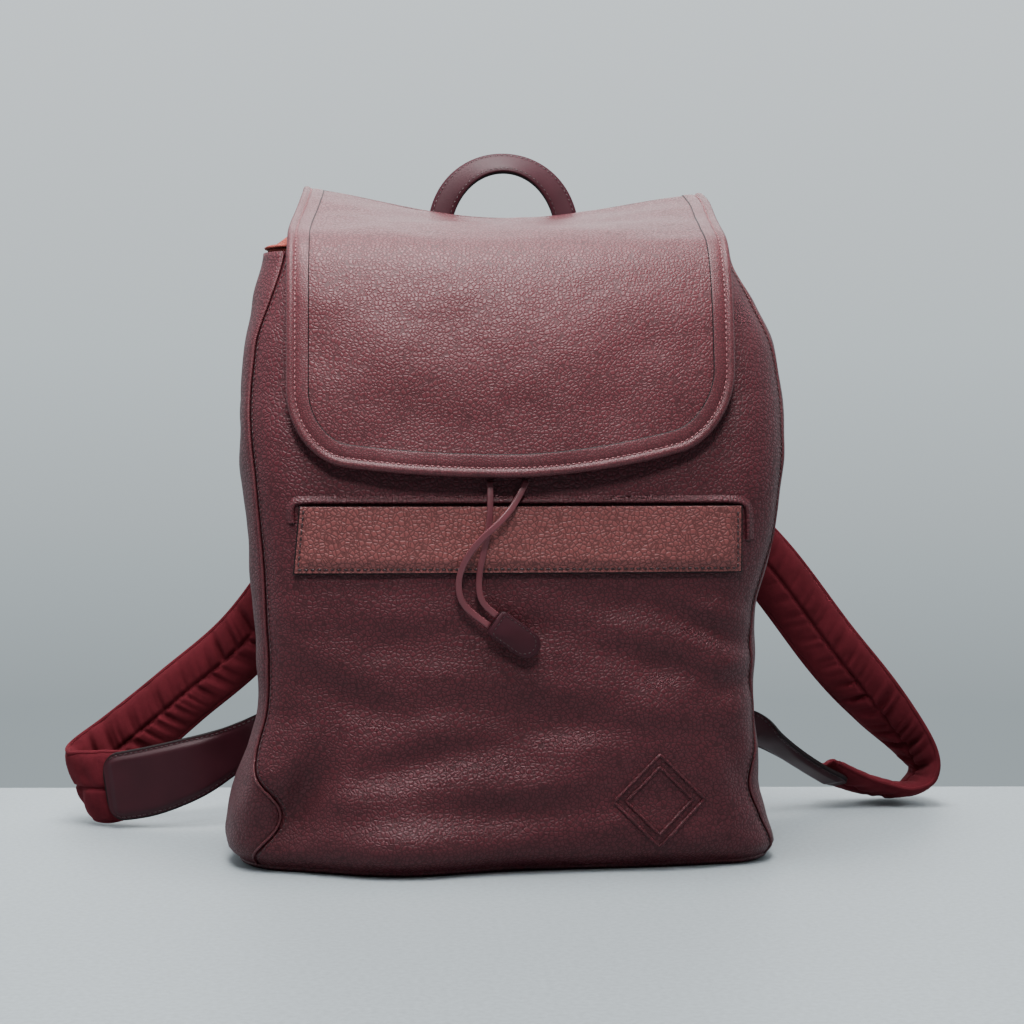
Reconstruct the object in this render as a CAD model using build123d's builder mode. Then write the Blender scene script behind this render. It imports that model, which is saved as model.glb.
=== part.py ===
from build123d import *
import math
import os

# Leather flap backpack, standing on its base, shoulder straps spread to its sides.
# Millimetres. X is to the wearer's right as seen from the front, -Y is the front,
# +Z is up. The origin is the middle of the base's underside.

os.makedirs("parts", exist_ok=True)

# ---- driving dimensions ----
LEATHER = 2.4            # body leather
LINING = 1.0             # cloth lining
BOARD = 2.0              # stiffener under the lining's floor
FOAM = 5.0               # back padding
CORNER = 34.0            # upright corners of the body
FRONT = -82.0            # front face, flat where the pocket is
BACK = 75.0              # back face
RIM_Z = 348.0            # top edge of the mouth
HINGE_Z = 391.0          # fold of the flap behind the mouth
FLAP_HALF = 123.0        # half the flap's width
FLAP_END_Z = 224.0       # bottom edge of the closed flap
FLAP_CORNER = 36.0
BORDER = 11.5            # smooth border band round the flap
SEAM_FRONT = -42.0       # where front panel and gussets meet
SEAM_BACK = 50.0         # where gussets and back panel meet
GAP = 0.4                # clearance between pieces that move
CORD = 3.4               # drawstring cord
CORD_X = (-18.0, 2.0)    # where the two cords pass under the flap's edge
EYELET_Z = 325.0
POCKET_TOP = 205.3
POCKET_LOW = 167.5
POCKET_HALF = 124.0
SLOT_HALF = 106.0
SLOT_LOW = 184.0
SLOT_HIGH = 200.0
STRAP_WIDE = 44.0
STRAP_THICK = 8.0
TAIL_THICK = 3.0
TAIL_NARROW = 25.0

# height, half width, front, back of the body at each station
STATIONS = [
    (0.0, 150.0, FRONT + 10.0, BACK - 8.0),
    (12.0, 157.0, FRONT + 2.0, BACK - 2.0),
    (40.0, 157.0, FRONT, BACK),
    (94.0, 148.0, FRONT, BACK),
    (144.0, 147.0, FRONT, BACK),
    (190.0, 156.0, FRONT, BACK),
    (215.0, 158.0, FRONT, BACK),
    (247.0, 161.0, FRONT + 3.0, BACK),
    (294.0, 154.0, FRONT + 8.0, BACK),
    (325.0, 145.0, FRONT + 14.6, BACK),
    (RIM_Z, 136.0, FRONT + 25.0, BACK),
]


def save(piece, name):
    piece.part.label = name
    export_step(piece.part, "parts/" + name + ".step")


def station_at(height):
    """Half width, front and back of the body at a height between two stations."""
    for low, high in zip(STATIONS, STATIONS[1:]):
        if low[0] <= height <= high[0]:
            share = (height - low[0]) / (high[0] - low[0])
            return [a + (b - a) * share for a, b in zip(low[1:], high[1:])]
    return list(STATIONS[-1][1:])


def front_at(height):
    return station_at(height)[1]


def body_form(inset, back_inset, bottom):
    """The body's outer form, shrunk by an inset, inside the open part builder."""
    levels = [bottom] + [row[0] for row in STATIONS if row[0] > bottom + 1.0]
    sections = []
    for height in levels:
        half, front, back = station_at(height)
        deep = (back - back_inset) - (front + inset)
        middle = (back - back_inset + front + inset) / 2
        with BuildSketch(Plane.XY.offset(height)) as section:
            with Locations((0, middle)):
                RectangleRounded(2 * (half - inset), deep, CORNER - inset)
        sections.append(section.sketch)
    loft(sections=sections, ruled=True)


def slab(x_range, y_range, z_range, mode=Mode.ADD):
    """A box from its ranges, inside the open part builder."""
    size = [high - low for low, high in (x_range, y_range, z_range)]
    middle = [(high + low) / 2 for low, high in (x_range, y_range, z_range)]
    with Locations(tuple(middle)):
        Box(*size, mode=mode)


WIDE = (-400.0, 400.0)
DEEP = (-400.0, 400.0)
TALL = (-10.0, 600.0)
FLOOR_LINING = LEATHER + BOARD

# ---- forms that the shells are cut from ----
with BuildPart() as outer_form:
    body_form(0.0, 0.0, 0.0)
with BuildPart() as leather_inside:
    body_form(LEATHER, LEATHER, LEATHER)
with BuildPart() as lining_outside:
    body_form(LEATHER, LEATHER + FOAM, FLOOR_LINING)
with BuildPart() as lining_inside:
    body_form(LEATHER + LINING, LEATHER + FOAM + LINING, FLOOR_LINING + LINING)
with BuildPart() as facing_inside:
    body_form(LEATHER + LINING + 3.0, LEATHER + FOAM + LINING + 3.0, FLOOR_LINING)
with BuildPart() as loop_inside:
    body_form(LEATHER + LINING + 1.6, LEATHER + FOAM + LINING + 1.6, FLOOR_LINING)

# ---- pieces that are cut through several layers ----
MAGNETS = [(-62.0, 246.0), (62.0, 246.0)]
POCKET_MAGNETS = [(-74.0, 175.0), (74.0, 175.0)]
EYELETS = [(CORD_X[0] + 3.0, EYELET_Z), (CORD_X[1] - 3.0, EYELET_Z)]


def discs(places, radius, y_range, mode=Mode.ADD):
    """Round discs that face the front, one at each (x, z)."""
    with BuildSketch(Plane.XZ.offset(-y_range[1])) as rounds:
        with Locations(*places):
            Circle(radius)
    extrude(rounds.sketch, amount=y_range[1] - y_range[0], mode=mode)


# ---- body panels ----
def shell_panel(x_range, y_range, z_range):
    """One panel of the leather shell, inside the open part builder."""
    add(outer_form.part)
    add(leather_inside.part, mode=Mode.SUBTRACT)
    slab(x_range, y_range, z_range, mode=Mode.INTERSECT)


UPPER = (LEATHER, 600.0)

with BuildPart() as front_panel:
    shell_panel(WIDE, (-400.0, SEAM_FRONT), UPPER)
    slab((-SLOT_HALF, SLOT_HALF), (FRONT - 5, FRONT + 8), (SLOT_LOW, SLOT_HIGH), Mode.SUBTRACT)
    discs(MAGNETS, 8.0, (FRONT - 5, FRONT + 20), Mode.SUBTRACT)
    discs(POCKET_MAGNETS, 6.0, (FRONT - 5, FRONT + 20), Mode.SUBTRACT)
    discs(EYELETS, 3.6, (FRONT - 5, FRONT + 30), Mode.SUBTRACT)
save(front_panel, "front_panel")

with BuildPart() as back_panel:
    shell_panel(WIDE, (SEAM_BACK, 400.0), UPPER)
    slab((-121.0, 121.0), (BACK - LEATHER, BACK), (RIM_Z, HINGE_Z - 5.6))
save(back_panel, "back_panel")

with BuildPart() as side_gusset_left:
    shell_panel((-400.0, 0.0), (SEAM_FRONT, SEAM_BACK), UPPER)
save(side_gusset_left, "side_gusset_left")

with BuildPart() as side_gusset_right:
    shell_panel((0.0, 400.0), (SEAM_FRONT, SEAM_BACK), UPPER)
save(side_gusset_right, "side_gusset_right")

with BuildPart() as base_panel:
    add(outer_form.part)
    slab(WIDE, DEEP, (-10.0, LEATHER), Mode.INTERSECT)
save(base_panel, "base_panel")

with BuildPart() as base_board:
    add(leather_inside.part)
    slab(WIDE, DEEP, (LEATHER, FLOOR_LINING), Mode.INTERSECT)
save(base_board, "base_board")

with BuildPart() as back_padding:
    add(leather_inside.part)
    add(lining_outside.part, mode=Mode.SUBTRACT)
    slab(WIDE, (0.0, 400.0), (FLOOR_LINING, 600.0), Mode.INTERSECT)
save(back_padding, "back_padding")

with BuildPart() as body_lining:
    add(lining_outside.part)
    add(lining_inside.part, mode=Mode.SUBTRACT)
    slab((-SLOT_HALF, SLOT_HALF), (FRONT - 5, FRONT + 8), (SLOT_LOW, SLOT_HIGH), Mode.SUBTRACT)
    discs(EYELETS, 3.6, (FRONT - 5, FRONT + 30), Mode.SUBTRACT)
save(body_lining, "body_lining")

# ---- mouth: facing, drawstring channel, eyelets ----
CHANNEL = (EYELET_Z - 3.0, EYELET_Z + 3.0)

with BuildPart() as drawstring_loop:
    add(lining_inside.part)
    add(loop_inside.part, mode=Mode.SUBTRACT)
    slab(WIDE, DEEP, CHANNEL, Mode.INTERSECT)
    slab((EYELETS[0][0], EYELETS[1][0]), (FRONT, 0.0), CHANNEL, Mode.SUBTRACT)
    discs(EYELETS, 3.6, (FRONT - 5, FRONT + 30), Mode.SUBTRACT)
save(drawstring_loop, "drawstring_loop")

with BuildPart() as rim_facing:
    add(lining_inside.part)
    add(facing_inside.part, mode=Mode.SUBTRACT)
    slab(WIDE, DEEP, (EYELET_Z - 15.0, 600.0), Mode.INTERSECT)
    add(drawstring_loop.part, mode=Mode.SUBTRACT)
    discs(EYELETS, 3.6, (FRONT - 5, FRONT + 30), Mode.SUBTRACT)
save(rim_facing, "rim_facing")

EYELET_FACE = front_at(EYELET_Z) - 1.2
with BuildPart() as rim_eyelets:
    discs(EYELETS, 3.6, (EYELET_FACE - 0.6, EYELET_FACE + 6.4))
    discs(EYELETS, 1.9, (EYELET_FACE - 3, EYELET_FACE + 12), Mode.SUBTRACT)
save(rim_eyelets, "rim_eyelets")

with BuildPart() as flap_catches:
    discs(MAGNETS, 8.0, (FRONT - 5, FRONT + 20))
    add(leather_inside.part, mode=Mode.SUBTRACT)
    add(outer_form.part, mode=Mode.INTERSECT)
save(flap_catches, "flap_catches")

# ---- front pocket ----
with BuildPart() as pocket_catches:
    discs(POCKET_MAGNETS, 6.0, (FRONT, FRONT + LEATHER))
save(pocket_catches, "pocket_catches")

POCKET_WALL = 1.2
POCKET_DEEP = 14.0
INNER_FRONT = FRONT + LEATHER + LINING
POCKET_X = (-SLOT_HALF - 4.0, SLOT_HALF + 4.0)
with BuildPart() as pocket_bag:
    slab(POCKET_X, (INNER_FRONT, INNER_FRONT + POCKET_DEEP), (92.0, 206.0))
    slab((POCKET_X[0] + POCKET_WALL, POCKET_X[1] - POCKET_WALL),
         (INNER_FRONT + POCKET_WALL, INNER_FRONT + POCKET_DEEP - POCKET_WALL),
         (92.0 + POCKET_WALL, 206.0 - POCKET_WALL), Mode.SUBTRACT)
    slab((-SLOT_HALF, SLOT_HALF), (INNER_FRONT - 1, INNER_FRONT + 3),
         (SLOT_LOW, SLOT_HIGH), Mode.SUBTRACT)
save(pocket_bag, "pocket_bag")

WELT_THICK = 1.6
with BuildPart() as pocket_welt:
    slab((-POCKET_HALF - 3, POCKET_HALF + 3), (FRONT - WELT_THICK, FRONT),
         (POCKET_TOP + GAP, POCKET_TOP + 4.0))
save(pocket_welt, "pocket_welt")

STRIP_BACK = FRONT - GAP
STRIP_LINE = STRIP_BACK - 1.0
STRIP_FACE = STRIP_LINE - 1.7
with BuildPart() as pocket_flap_strip:
    slab((-POCKET_HALF, POCKET_HALF), (STRIP_FACE, STRIP_LINE), (POCKET_LOW, POCKET_TOP))
    fillet(pocket_flap_strip.edges().filter_by(Axis.Y), 2.0)
save(pocket_flap_strip, "pocket_flap_strip")

with BuildPart() as pocket_flap_lining:
    slab((-POCKET_HALF + 2, POCKET_HALF - 2), (STRIP_LINE, STRIP_BACK),
         (POCKET_LOW + 2, POCKET_TOP - 1))
    discs(POCKET_MAGNETS, 6.0, (STRIP_LINE - 1, STRIP_BACK + 1), Mode.SUBTRACT)
save(pocket_flap_lining, "pocket_flap_lining")

with BuildPart() as pocket_flap_magnets:
    discs(POCKET_MAGNETS, 6.0, (STRIP_LINE, STRIP_BACK))
save(pocket_flap_magnets, "pocket_flap_magnets")

# ---- flap: its side profile, from the fold behind the mouth to its bottom edge ----
FOLD = (-66.0, 352.0)
FLAP_FACE = -90.0
PROFILE = [
    (BACK + 0.5, HINGE_Z),
    FOLD,
    (-84.0, 329.0),
    (FLAP_FACE + 1.0, 296.0),
    (FLAP_FACE, FLAP_END_Z),
]
FLAP_BAND = 1.2          # border leather on top of the panel
FLAP_LEATHER = 1.6


def offset_line(depth):
    """The flap's profile moved towards the bag by a depth, mitred at its corners."""
    moved = []
    for index, point in enumerate(PROFILE):
        before = PROFILE[max(index - 1, 0)]
        after = PROFILE[min(index + 1, len(PROFILE) - 1)]
        here = Vector(*point)
        into = (here - Vector(*before)) if index else (Vector(*after) - here)
        out = (Vector(*after) - here) if index < len(PROFILE) - 1 else into
        side = into.normalized() + out.normalized()
        normal = Vector(-side.Y, side.X).normalized()
        half_turn = math.radians(into.get_angle(out) / 2)
        spot = here + normal * (depth / math.cos(half_turn))
        moved.append((spot.X, spot.Y))
    return moved


def flap_layer(first, last, top_depth, low_depth, half):
    """A layer of the flap between two points of its profile."""
    top = offset_line(top_depth)[first:last + 1]
    low = offset_line(low_depth)[first:last + 1]
    if first == 1:
        slide = (Vector(*PROFILE[2]) - Vector(*PROFILE[1])).normalized() * GAP
        top[0] = (top[0][0] + slide.X, top[0][1] + slide.Y)
        low[0] = (low[0][0] + slide.X, low[0][1] + slide.Y)
    with BuildSketch(Plane.YZ) as profile:
        with BuildLine():
            Polyline(*(top + low[::-1]), close=True)
        make_face()
    extrude(profile.sketch, amount=half, both=True)


def flap_outline(inset, mode):
    """The flap's front outline, with its two round bottom corners, cut through Y."""
    half = FLAP_HALF - inset
    low = FLAP_END_Z + inset
    with BuildSketch(Plane.XZ) as outline:
        with Locations((0, (low + 600.0) / 2)):
            RectangleRounded(2 * half, 600.0 - low, FLAP_CORNER - inset)
    extrude(outline.sketch, amount=400.0, both=True, mode=mode)


DEPTHS = (0.0, FLAP_BAND, FLAP_BAND + FLAP_LEATHER, FLAP_BAND + FLAP_LEATHER + LINING)

with BuildPart() as flap_top_panel:
    flap_layer(0, 1, DEPTHS[1], DEPTHS[2], FLAP_HALF)
save(flap_top_panel, "flap_top_panel")

with BuildPart() as flap_top_lining:
    flap_layer(0, 1, DEPTHS[2], DEPTHS[3], FLAP_HALF - 2.0)
save(flap_top_lining, "flap_top_lining")

with BuildPart() as flap_top_border:
    flap_layer(0, 1, DEPTHS[0], DEPTHS[1], FLAP_HALF)
    slab((-FLAP_HALF + BORDER, FLAP_HALF - BORDER), DEEP, TALL, Mode.SUBTRACT)
save(flap_top_border, "flap_top_border")


with BuildPart() as flap_front_panel:
    flap_layer(1, 4, DEPTHS[1], DEPTHS[2], FLAP_HALF)
    flap_outline(0.0, Mode.INTERSECT)
save(flap_front_panel, "flap_front_panel")

with BuildPart() as flap_front_lining:
    flap_layer(1, 4, DEPTHS[2], DEPTHS[3], FLAP_HALF)
    flap_outline(2.0, Mode.INTERSECT)
    discs(MAGNETS, 8.0, (FLAP_FACE - 5, FLAP_FACE + 9), Mode.SUBTRACT)
save(flap_front_lining, "flap_front_lining")

with BuildPart() as flap_magnets:
    flap_layer(1, 4, DEPTHS[2], DEPTHS[3], FLAP_HALF)
    with BuildSketch(Plane.XZ.offset(50.0)):
        with Locations(*MAGNETS):
            Circle(8.0)
    extrude(amount=100.0, mode=Mode.INTERSECT)
save(flap_magnets, "flap_magnets")

with BuildPart() as border_core:
    flap_outline(BORDER, Mode.ADD)

with BuildPart() as flap_front_border:
    flap_layer(1, 4, DEPTHS[0], DEPTHS[1], FLAP_HALF)
    flap_outline(0.0, Mode.INTERSECT)
    add(border_core.part, mode=Mode.SUBTRACT)
save(flap_front_border, "flap_front_border")


# ---- drawstring cords ----
def cord_path(points, name):
    """Straight runs joined by tangent arcs, each as large as its two runs allow."""
    radii = []
    for before, here, after in zip(points, points[1:], points[2:]):
        into = Vector(*here) - Vector(*before)
        out = Vector(*after) - Vector(*here)
        half_turn = math.radians(into.get_angle(out) / 2)
        radii.append(0.45 * min(into.length, out.length) / math.tan(half_turn))
    print(name, "radii", [round(radius, 1) for radius in radii])
    return FilletPolyline(*points, radius=radii)


def cord_tube(points, name):
    """A round cord along a route, inside the open part builder."""
    with BuildLine():
        path = cord_path(points, name)
    with BuildSketch(Plane(origin=path @ 0, z_dir=path % 0)) as section:
        Circle(CORD / 2)
    sweep(sections=section.sketch, path=path)
    return path.length


PIVOT_Z = 219.0
PIVOT_Y = -84.6
EXIT_Y = EYELET_FACE - 0.6
LEFT_X = EYELETS[0][0]
RIGHT_X = EYELETS[1][0]
UPPER_A = [
    (LEFT_X, EXIT_Y, EYELET_Z),
    (LEFT_X, EXIT_Y - 4.6, EYELET_Z - 1.6),
    (LEFT_X - 0.5, -76.6, 313.0),
    (LEFT_X - 1.6, -78.4, 293.0),
    (LEFT_X - 2.4, -81.0, 268.0),
    (LEFT_X - 3.0, -82.9, 241.0),
    (LEFT_X - 3.0, PIVOT_Y, PIVOT_Z + 2.3),
]
UPPER_B = [
    (RIGHT_X, EXIT_Y, EYELET_Z),
    (RIGHT_X, EXIT_Y - 4.6, EYELET_Z - 1.6),
    (RIGHT_X - 0.3, -76.6, 312.0),
    (RIGHT_X + 1.2, -78.5, 291.0),
    (RIGHT_X + 2.2, -81.2, 267.0),
    (RIGHT_X + 2.6, -82.9, 240.0),
    (RIGHT_X + 3.0, PIVOT_Y, PIVOT_Z + 2.3),
]
LOWER_A = [
    (-18.0, PIVOT_Y, 219.0),
    (-18.0, -87.6, 206.5),
    (-18.6, -87.8, 193.5),
    (-21.6, -87.8, 181.0),
    (-24.2, -87.8, 168.5),
    (-24.4, -88.0, 157.0),
    (-21.0, -88.2, 149.7),
    (-14.4, -88.2, 144.9),
]
LOWER_B = [
    (2.0, PIVOT_Y, 219.0),
    (-3.5, -88.6, 207.4),
    (-13.0, -93.4, 196.4),
    (-24.0, -93.6, 187.0),
    (-32.0, -91.0, 176.0),
    (-36.0, -88.4, 164.5),
    (-34.6, -88.0, 153.0),
    (-28.0, -88.2, 145.9),
    (-18.6, -88.2, 139.3),
]
CORD_AREA = math.pi * (CORD / 2) ** 2
for cord_name, route in (
    ("drawstring_upper_a", UPPER_A),
    ("drawstring_upper_b", UPPER_B),
    ("drawstring_cord_a", LOWER_A),
    ("drawstring_cord_b", LOWER_B),
):
    with BuildPart() as cord:
        length = cord_tube(route, cord_name)
    save(cord, cord_name)
    print(cord_name, "length", round(length, 1), "volume", round(cord.part.volume, 1),
          "section x length", round(CORD_AREA * length, 1))

# ---- tab on the cords' ends: rounded at its far end, square where the cords go in ----
TAB_LONG = 30.0
TAB_WIDE = 16.0
TAB_THICK = 4.4
TAB_CORNER = 3.0
TAB_TURN = math.radians(-35.5)
TAB_START = Vector(-16.5, -90.4, 142.1)
with BuildPart() as drawstring_tab:
    tab_dir = Vector(math.cos(TAB_TURN), 0, math.sin(TAB_TURN))
    with BuildSketch(Plane(origin=TAB_START, x_dir=tab_dir, z_dir=(0, 1, 0))):
        with Locations((TAB_LONG / 2 + 0.2, 0)):
            RectangleRounded(TAB_LONG, TAB_WIDE, TAB_CORNER)
    extrude(amount=TAB_THICK)
save(drawstring_tab, "drawstring_tab")

# ---- top handle and its stitched tabs ----
HANDLE_Z = 366.0
HANDLE_FACE = (77.9, 81.9)
PATCH = (BACK, 77.5)
PATCH_HALF = 54.0
PATCH_Z = (351.0, 374.0)
HANDLE_TAB_FOOT = 352.0
HANDLE_OUT = (48.0, 56.0)
HANDLE_IN = (33.0, 43.0)

with BuildPart() as handle_patch:
    slab((-PATCH_HALF, PATCH_HALF), PATCH, PATCH_Z)
    fillet(handle_patch.edges().filter_by(Axis.Y), 6.0)
save(handle_patch, "handle_patch")

with BuildPart() as handle_tabs:
    for side in (-1, 1):
        near, far = sorted((side * HANDLE_IN[0], side * HANDLE_OUT[0]))
        slab((near, far), (PATCH[1], HANDLE_FACE[1]), (HANDLE_TAB_FOOT, HANDLE_Z - GAP))
save(handle_tabs, "handle_tabs")

with BuildPart() as top_handle:
    with BuildSketch(Plane.XZ.offset(-HANDLE_FACE[1])):
        with Locations((0, HANDLE_Z)):
            Ellipse(*HANDLE_OUT)
            Ellipse(*HANDLE_IN, mode=Mode.SUBTRACT)
        with Locations((0, HANDLE_Z - 50)):
            Rectangle(200, 100, mode=Mode.SUBTRACT)
    extrude(amount=HANDLE_FACE[1] - HANDLE_FACE[0])
save(top_handle, "top_handle")

# ---- shoulder straps ----
YOKE_Z = (333.0, 350.5)
YOKE_HALF = 88.0
with BuildPart() as strap_yoke:
    slab((-YOKE_HALF, YOKE_HALF), PATCH, YOKE_Z)
    fillet(strap_yoke.edges().filter_by(Axis.Y), 4.0)
save(strap_yoke, "strap_yoke")


def band(rows, thick):
    """A flat band through sections. A row is its centre, the way its face looks, its width."""
    centres = [Vector(*row[0]) for row in rows]
    sections = []
    for index, (_, face, wide) in enumerate(rows):
        before = centres[max(index - 1, 0)]
        after = centres[min(index + 1, len(rows) - 1)]
        along = (after - before).normalized()
        across = along.cross(Vector(*face)).normalized()
        with BuildSketch(Plane(origin=centres[index], x_dir=across, z_dir=along)) as section:
            Rectangle(wide, thick)
        sections.append(section.sketch)
    loft(sections=sections, ruled=True)


# the left strap stands on its edge and turns back on itself at its far end
LEFT_BAND = [
    ((-60.0, 82.6, 332.0), (0, 1, 0), STRAP_WIDE),
    ((-66.0, 82.8, 290.0), (0, 1, 0), STRAP_WIDE),
    ((-88.0, 84.0, 232.0), (0, 1, 0), STRAP_WIDE),
    ((-120.0, 86.0, 168.0), (0, 1, 0), STRAP_WIDE),
    ((-158.0, 90.0, 114.0), (0, 1, 0), STRAP_WIDE),
    ((-202.0, 94.0, 76.0), (0, 1, 0), STRAP_WIDE),
    ((-238.0, 97.0, STRAP_WIDE), (-0.1, 1, 0), STRAP_WIDE),
    ((-259.0, 95.0, 33.0), (-0.5, 0.87, 0), STRAP_WIDE),
    ((-269.0, 86.0, 26.5), (-1, 0.1, 0), STRAP_WIDE),
    ((-262.0, 76.5, 25.0), (-0.6, -0.8, 0), STRAP_WIDE),
    ((-247.0, 72.5, 25.6), (-0.15, -1, 0), STRAP_WIDE),
    ((-229.0, 71.5, 28.0), (0, -1, 0), STRAP_WIDE - 6),
]
# the right strap faces the front, then rolls over and lies on its flat below its bend
RIGHT_BAND = [
    ((60.0, 82.6, 332.0), (0, 1, 0), STRAP_WIDE),
    ((68.0, 82.8, 290.0), (0, 1, 0), STRAP_WIDE),
    ((92.0, 85.0, 240.0), (0, 1, 0), STRAP_WIDE),
    ((130.0, 89.0, 197.0), (0, 1, 0), STRAP_WIDE),
    ((170.0, 95.0, 157.0), (0, 1, 0), STRAP_WIDE),
    ((212.0, 102.0, 103.0), (0.1, 1, 0.1), STRAP_WIDE),
    ((247.0, 110.0, 64.0), (0.4, 0.75, 0.35), STRAP_WIDE),
    ((273.0, 116.0, 37.0), (0.75, 0.5, 0.4), STRAP_WIDE),
    ((282.0, 118.0, 18.0), (0.97, 0.2, -0.25), STRAP_WIDE),
    ((269.0, 118.0, 6.6), (0.3, 0.05, -0.95), STRAP_WIDE),
    ((246.0, 116.0, 7.0), (-0.1, 0, -0.99), STRAP_WIDE),
    ((224.0, 113.0, 14.0), (-0.35, 0, -0.93), STRAP_WIDE - 4),
    ((208.0, 110.0, 24.0), (-0.5, 0, -0.86), STRAP_WIDE - 10),
]
# the leather tails: a broad tongue on the padded band, narrowing to the adjuster
LEFT_TAIL = [
    ((-248.0, 65.9, 25.0), (0, -1, 0), 38.0),
    ((-222.0, 65.2, 29.0), (0, -1, 0), 38.0),
    ((-196.0, 67.0, 37.0), (0.1, -1, 0), 34.0),
    ((-176.0, 73.0, 45.0), (0.35, -0.94, 0), 28.0),
    ((-162.0, 80.5, 51.5), (0.2, -0.98, 0), TAIL_NARROW),
    ((-150.0, 81.6, 57.0), (0, -1, 0), TAIL_NARROW),
    ((-108.0, 81.6, 76.5), (0, -1, 0), TAIL_NARROW),
]
RIGHT_TAIL = [
    ((232.0, 113.4, 16.9), (-0.4, 0, -0.92), 30.0),
    ((205.0, 110.0, 32.0), (-0.55, 0, -0.84), 28.0),
    ((188.0, 102.0, 41.5), (-0.5, -0.35, -0.8), TAIL_NARROW),
    ((171.0, 90.0, 49.5), (-0.3, -0.8, -0.5), TAIL_NARROW),
    ((160.0, 82.8, 54.2), (-0.1, -0.98, -0.1), TAIL_NARROW),
    ((150.0, 81.6, 58.6), (0, -1, 0), TAIL_NARROW),
    ((108.0, 81.6, 76.5), (0, -1, 0), TAIL_NARROW),
]

with BuildPart() as strap_left_band:
    band(LEFT_BAND, STRAP_THICK)
save(strap_left_band, "strap_left_band")

with BuildPart() as strap_right_band:
    band(RIGHT_BAND, STRAP_THICK)
save(strap_right_band, "strap_right_band")

with BuildPart() as strap_left_tail:
    band(LEFT_TAIL, TAIL_THICK)
    add(strap_left_band.part, mode=Mode.SUBTRACT)
save(strap_left_tail, "strap_left_tail")

with BuildPart() as strap_right_tail:
    band(RIGHT_TAIL, TAIL_THICK)
    add(strap_right_band.part, mode=Mode.SUBTRACT)
save(strap_right_tail, "strap_right_tail")

# ---- adjusters: flat metal loops round the straight end of each tail ----
SLIDER_LONG = 9.0
SLIDER_WALL = 2.4
SLIDER_FACE = 1.5           # wall over the tail's faces
SLIDER_PLAY = 1.0
SLIDER_PLACE = 0.42         # share of the straight run


def slider(rows):
    """A closed loop round the tail, half way along its straight end."""
    start, end = Vector(*rows[-2][0]), Vector(*rows[-1][0])
    along = (end - start).normalized()
    across = along.cross(Vector(0, -1, 0)).normalized()
    middle = start + (end - start) * SLIDER_PLACE
    with BuildSketch(Plane(origin=middle, x_dir=across, z_dir=along)) as section:
        outer = (TAIL_NARROW + 2 * SLIDER_WALL + SLIDER_PLAY, TAIL_THICK + 2 * SLIDER_FACE + SLIDER_PLAY)
        RectangleRounded(*outer, SLIDER_FACE)
        Rectangle(TAIL_NARROW + SLIDER_PLAY, TAIL_THICK + SLIDER_PLAY, mode=Mode.SUBTRACT)
    extrude(section.sketch, amount=SLIDER_LONG / 2, both=True)


with BuildPart() as slider_left:
    slider(LEFT_TAIL)
save(slider_left, "slider_left")

with BuildPart() as slider_right:
    slider(RIGHT_TAIL)
save(slider_right, "slider_right")

# ---- leather tabs that hold the tails to the lower back ----
ANCHOR_X = (70.0, 101.0)
ANCHOR_Y = (BACK, 83.6)
ANCHOR_Z = (64.0, 96.0)
for side, anchor_name in ((-1, "strap_anchor_left"), (1, "strap_anchor_right")):
    with BuildPart() as anchor:
        near, far = sorted((side * ANCHOR_X[0], side * ANCHOR_X[1]))
        slab((near, far), ANCHOR_Y, ANCHOR_Z)
        fillet(anchor.edges().filter_by(Axis.Y), 5.0)
    save(anchor, anchor_name)
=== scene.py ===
import math

import bpy
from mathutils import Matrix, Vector, noise


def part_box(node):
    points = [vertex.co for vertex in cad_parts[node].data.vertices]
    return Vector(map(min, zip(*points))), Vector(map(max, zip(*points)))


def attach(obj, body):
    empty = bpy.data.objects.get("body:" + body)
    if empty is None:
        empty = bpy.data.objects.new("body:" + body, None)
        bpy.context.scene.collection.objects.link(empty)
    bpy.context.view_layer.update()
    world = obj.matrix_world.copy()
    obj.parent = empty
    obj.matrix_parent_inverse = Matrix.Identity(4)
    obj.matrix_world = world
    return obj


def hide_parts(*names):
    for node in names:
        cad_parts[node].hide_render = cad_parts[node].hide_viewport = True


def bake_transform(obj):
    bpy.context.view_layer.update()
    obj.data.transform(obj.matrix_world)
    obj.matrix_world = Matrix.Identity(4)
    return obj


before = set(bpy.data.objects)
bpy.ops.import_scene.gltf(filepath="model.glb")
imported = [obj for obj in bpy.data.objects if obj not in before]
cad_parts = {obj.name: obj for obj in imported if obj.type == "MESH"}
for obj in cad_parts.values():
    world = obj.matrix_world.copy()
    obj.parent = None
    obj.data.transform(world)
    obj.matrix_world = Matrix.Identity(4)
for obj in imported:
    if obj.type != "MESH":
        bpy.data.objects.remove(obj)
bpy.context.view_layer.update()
bpy.ops.object.select_all(action="DESELECT")

MM = 0.001


# ---------------------------------------------------------------- colours and nodes
def colour(hex_code):
    """An sRGB hex value as linear red, green, blue and alpha."""
    parts = [int(hex_code[i:i + 2], 16) / 255 for i in (0, 2, 4)]
    return [c / 12.92 if c <= 0.04045 else ((c + 0.055) / 1.055) ** 2.4 for c in parts] + [1.0]


def add_node(tree, kind, values=None, links=None, stops=(), **settings):
    """One node with its settings, input values and what feeds it; stops are (place, colour)."""
    made = tree.nodes.new(kind)
    for key, value in settings.items():
        setattr(made, key, value)
    for key, value in (values or {}).items():
        made.inputs[key].default_value = value
    for key, source in (links or {}).items():
        tree.links.new(source, made.inputs[key])
    if stops:
        while len(made.color_ramp.elements) < len(stops):
            made.color_ramp.elements.new(0.5)
        for element, (place, shade) in zip(made.color_ramp.elements, stops):
            element.position = place
            element.color = shade
    return made


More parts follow.
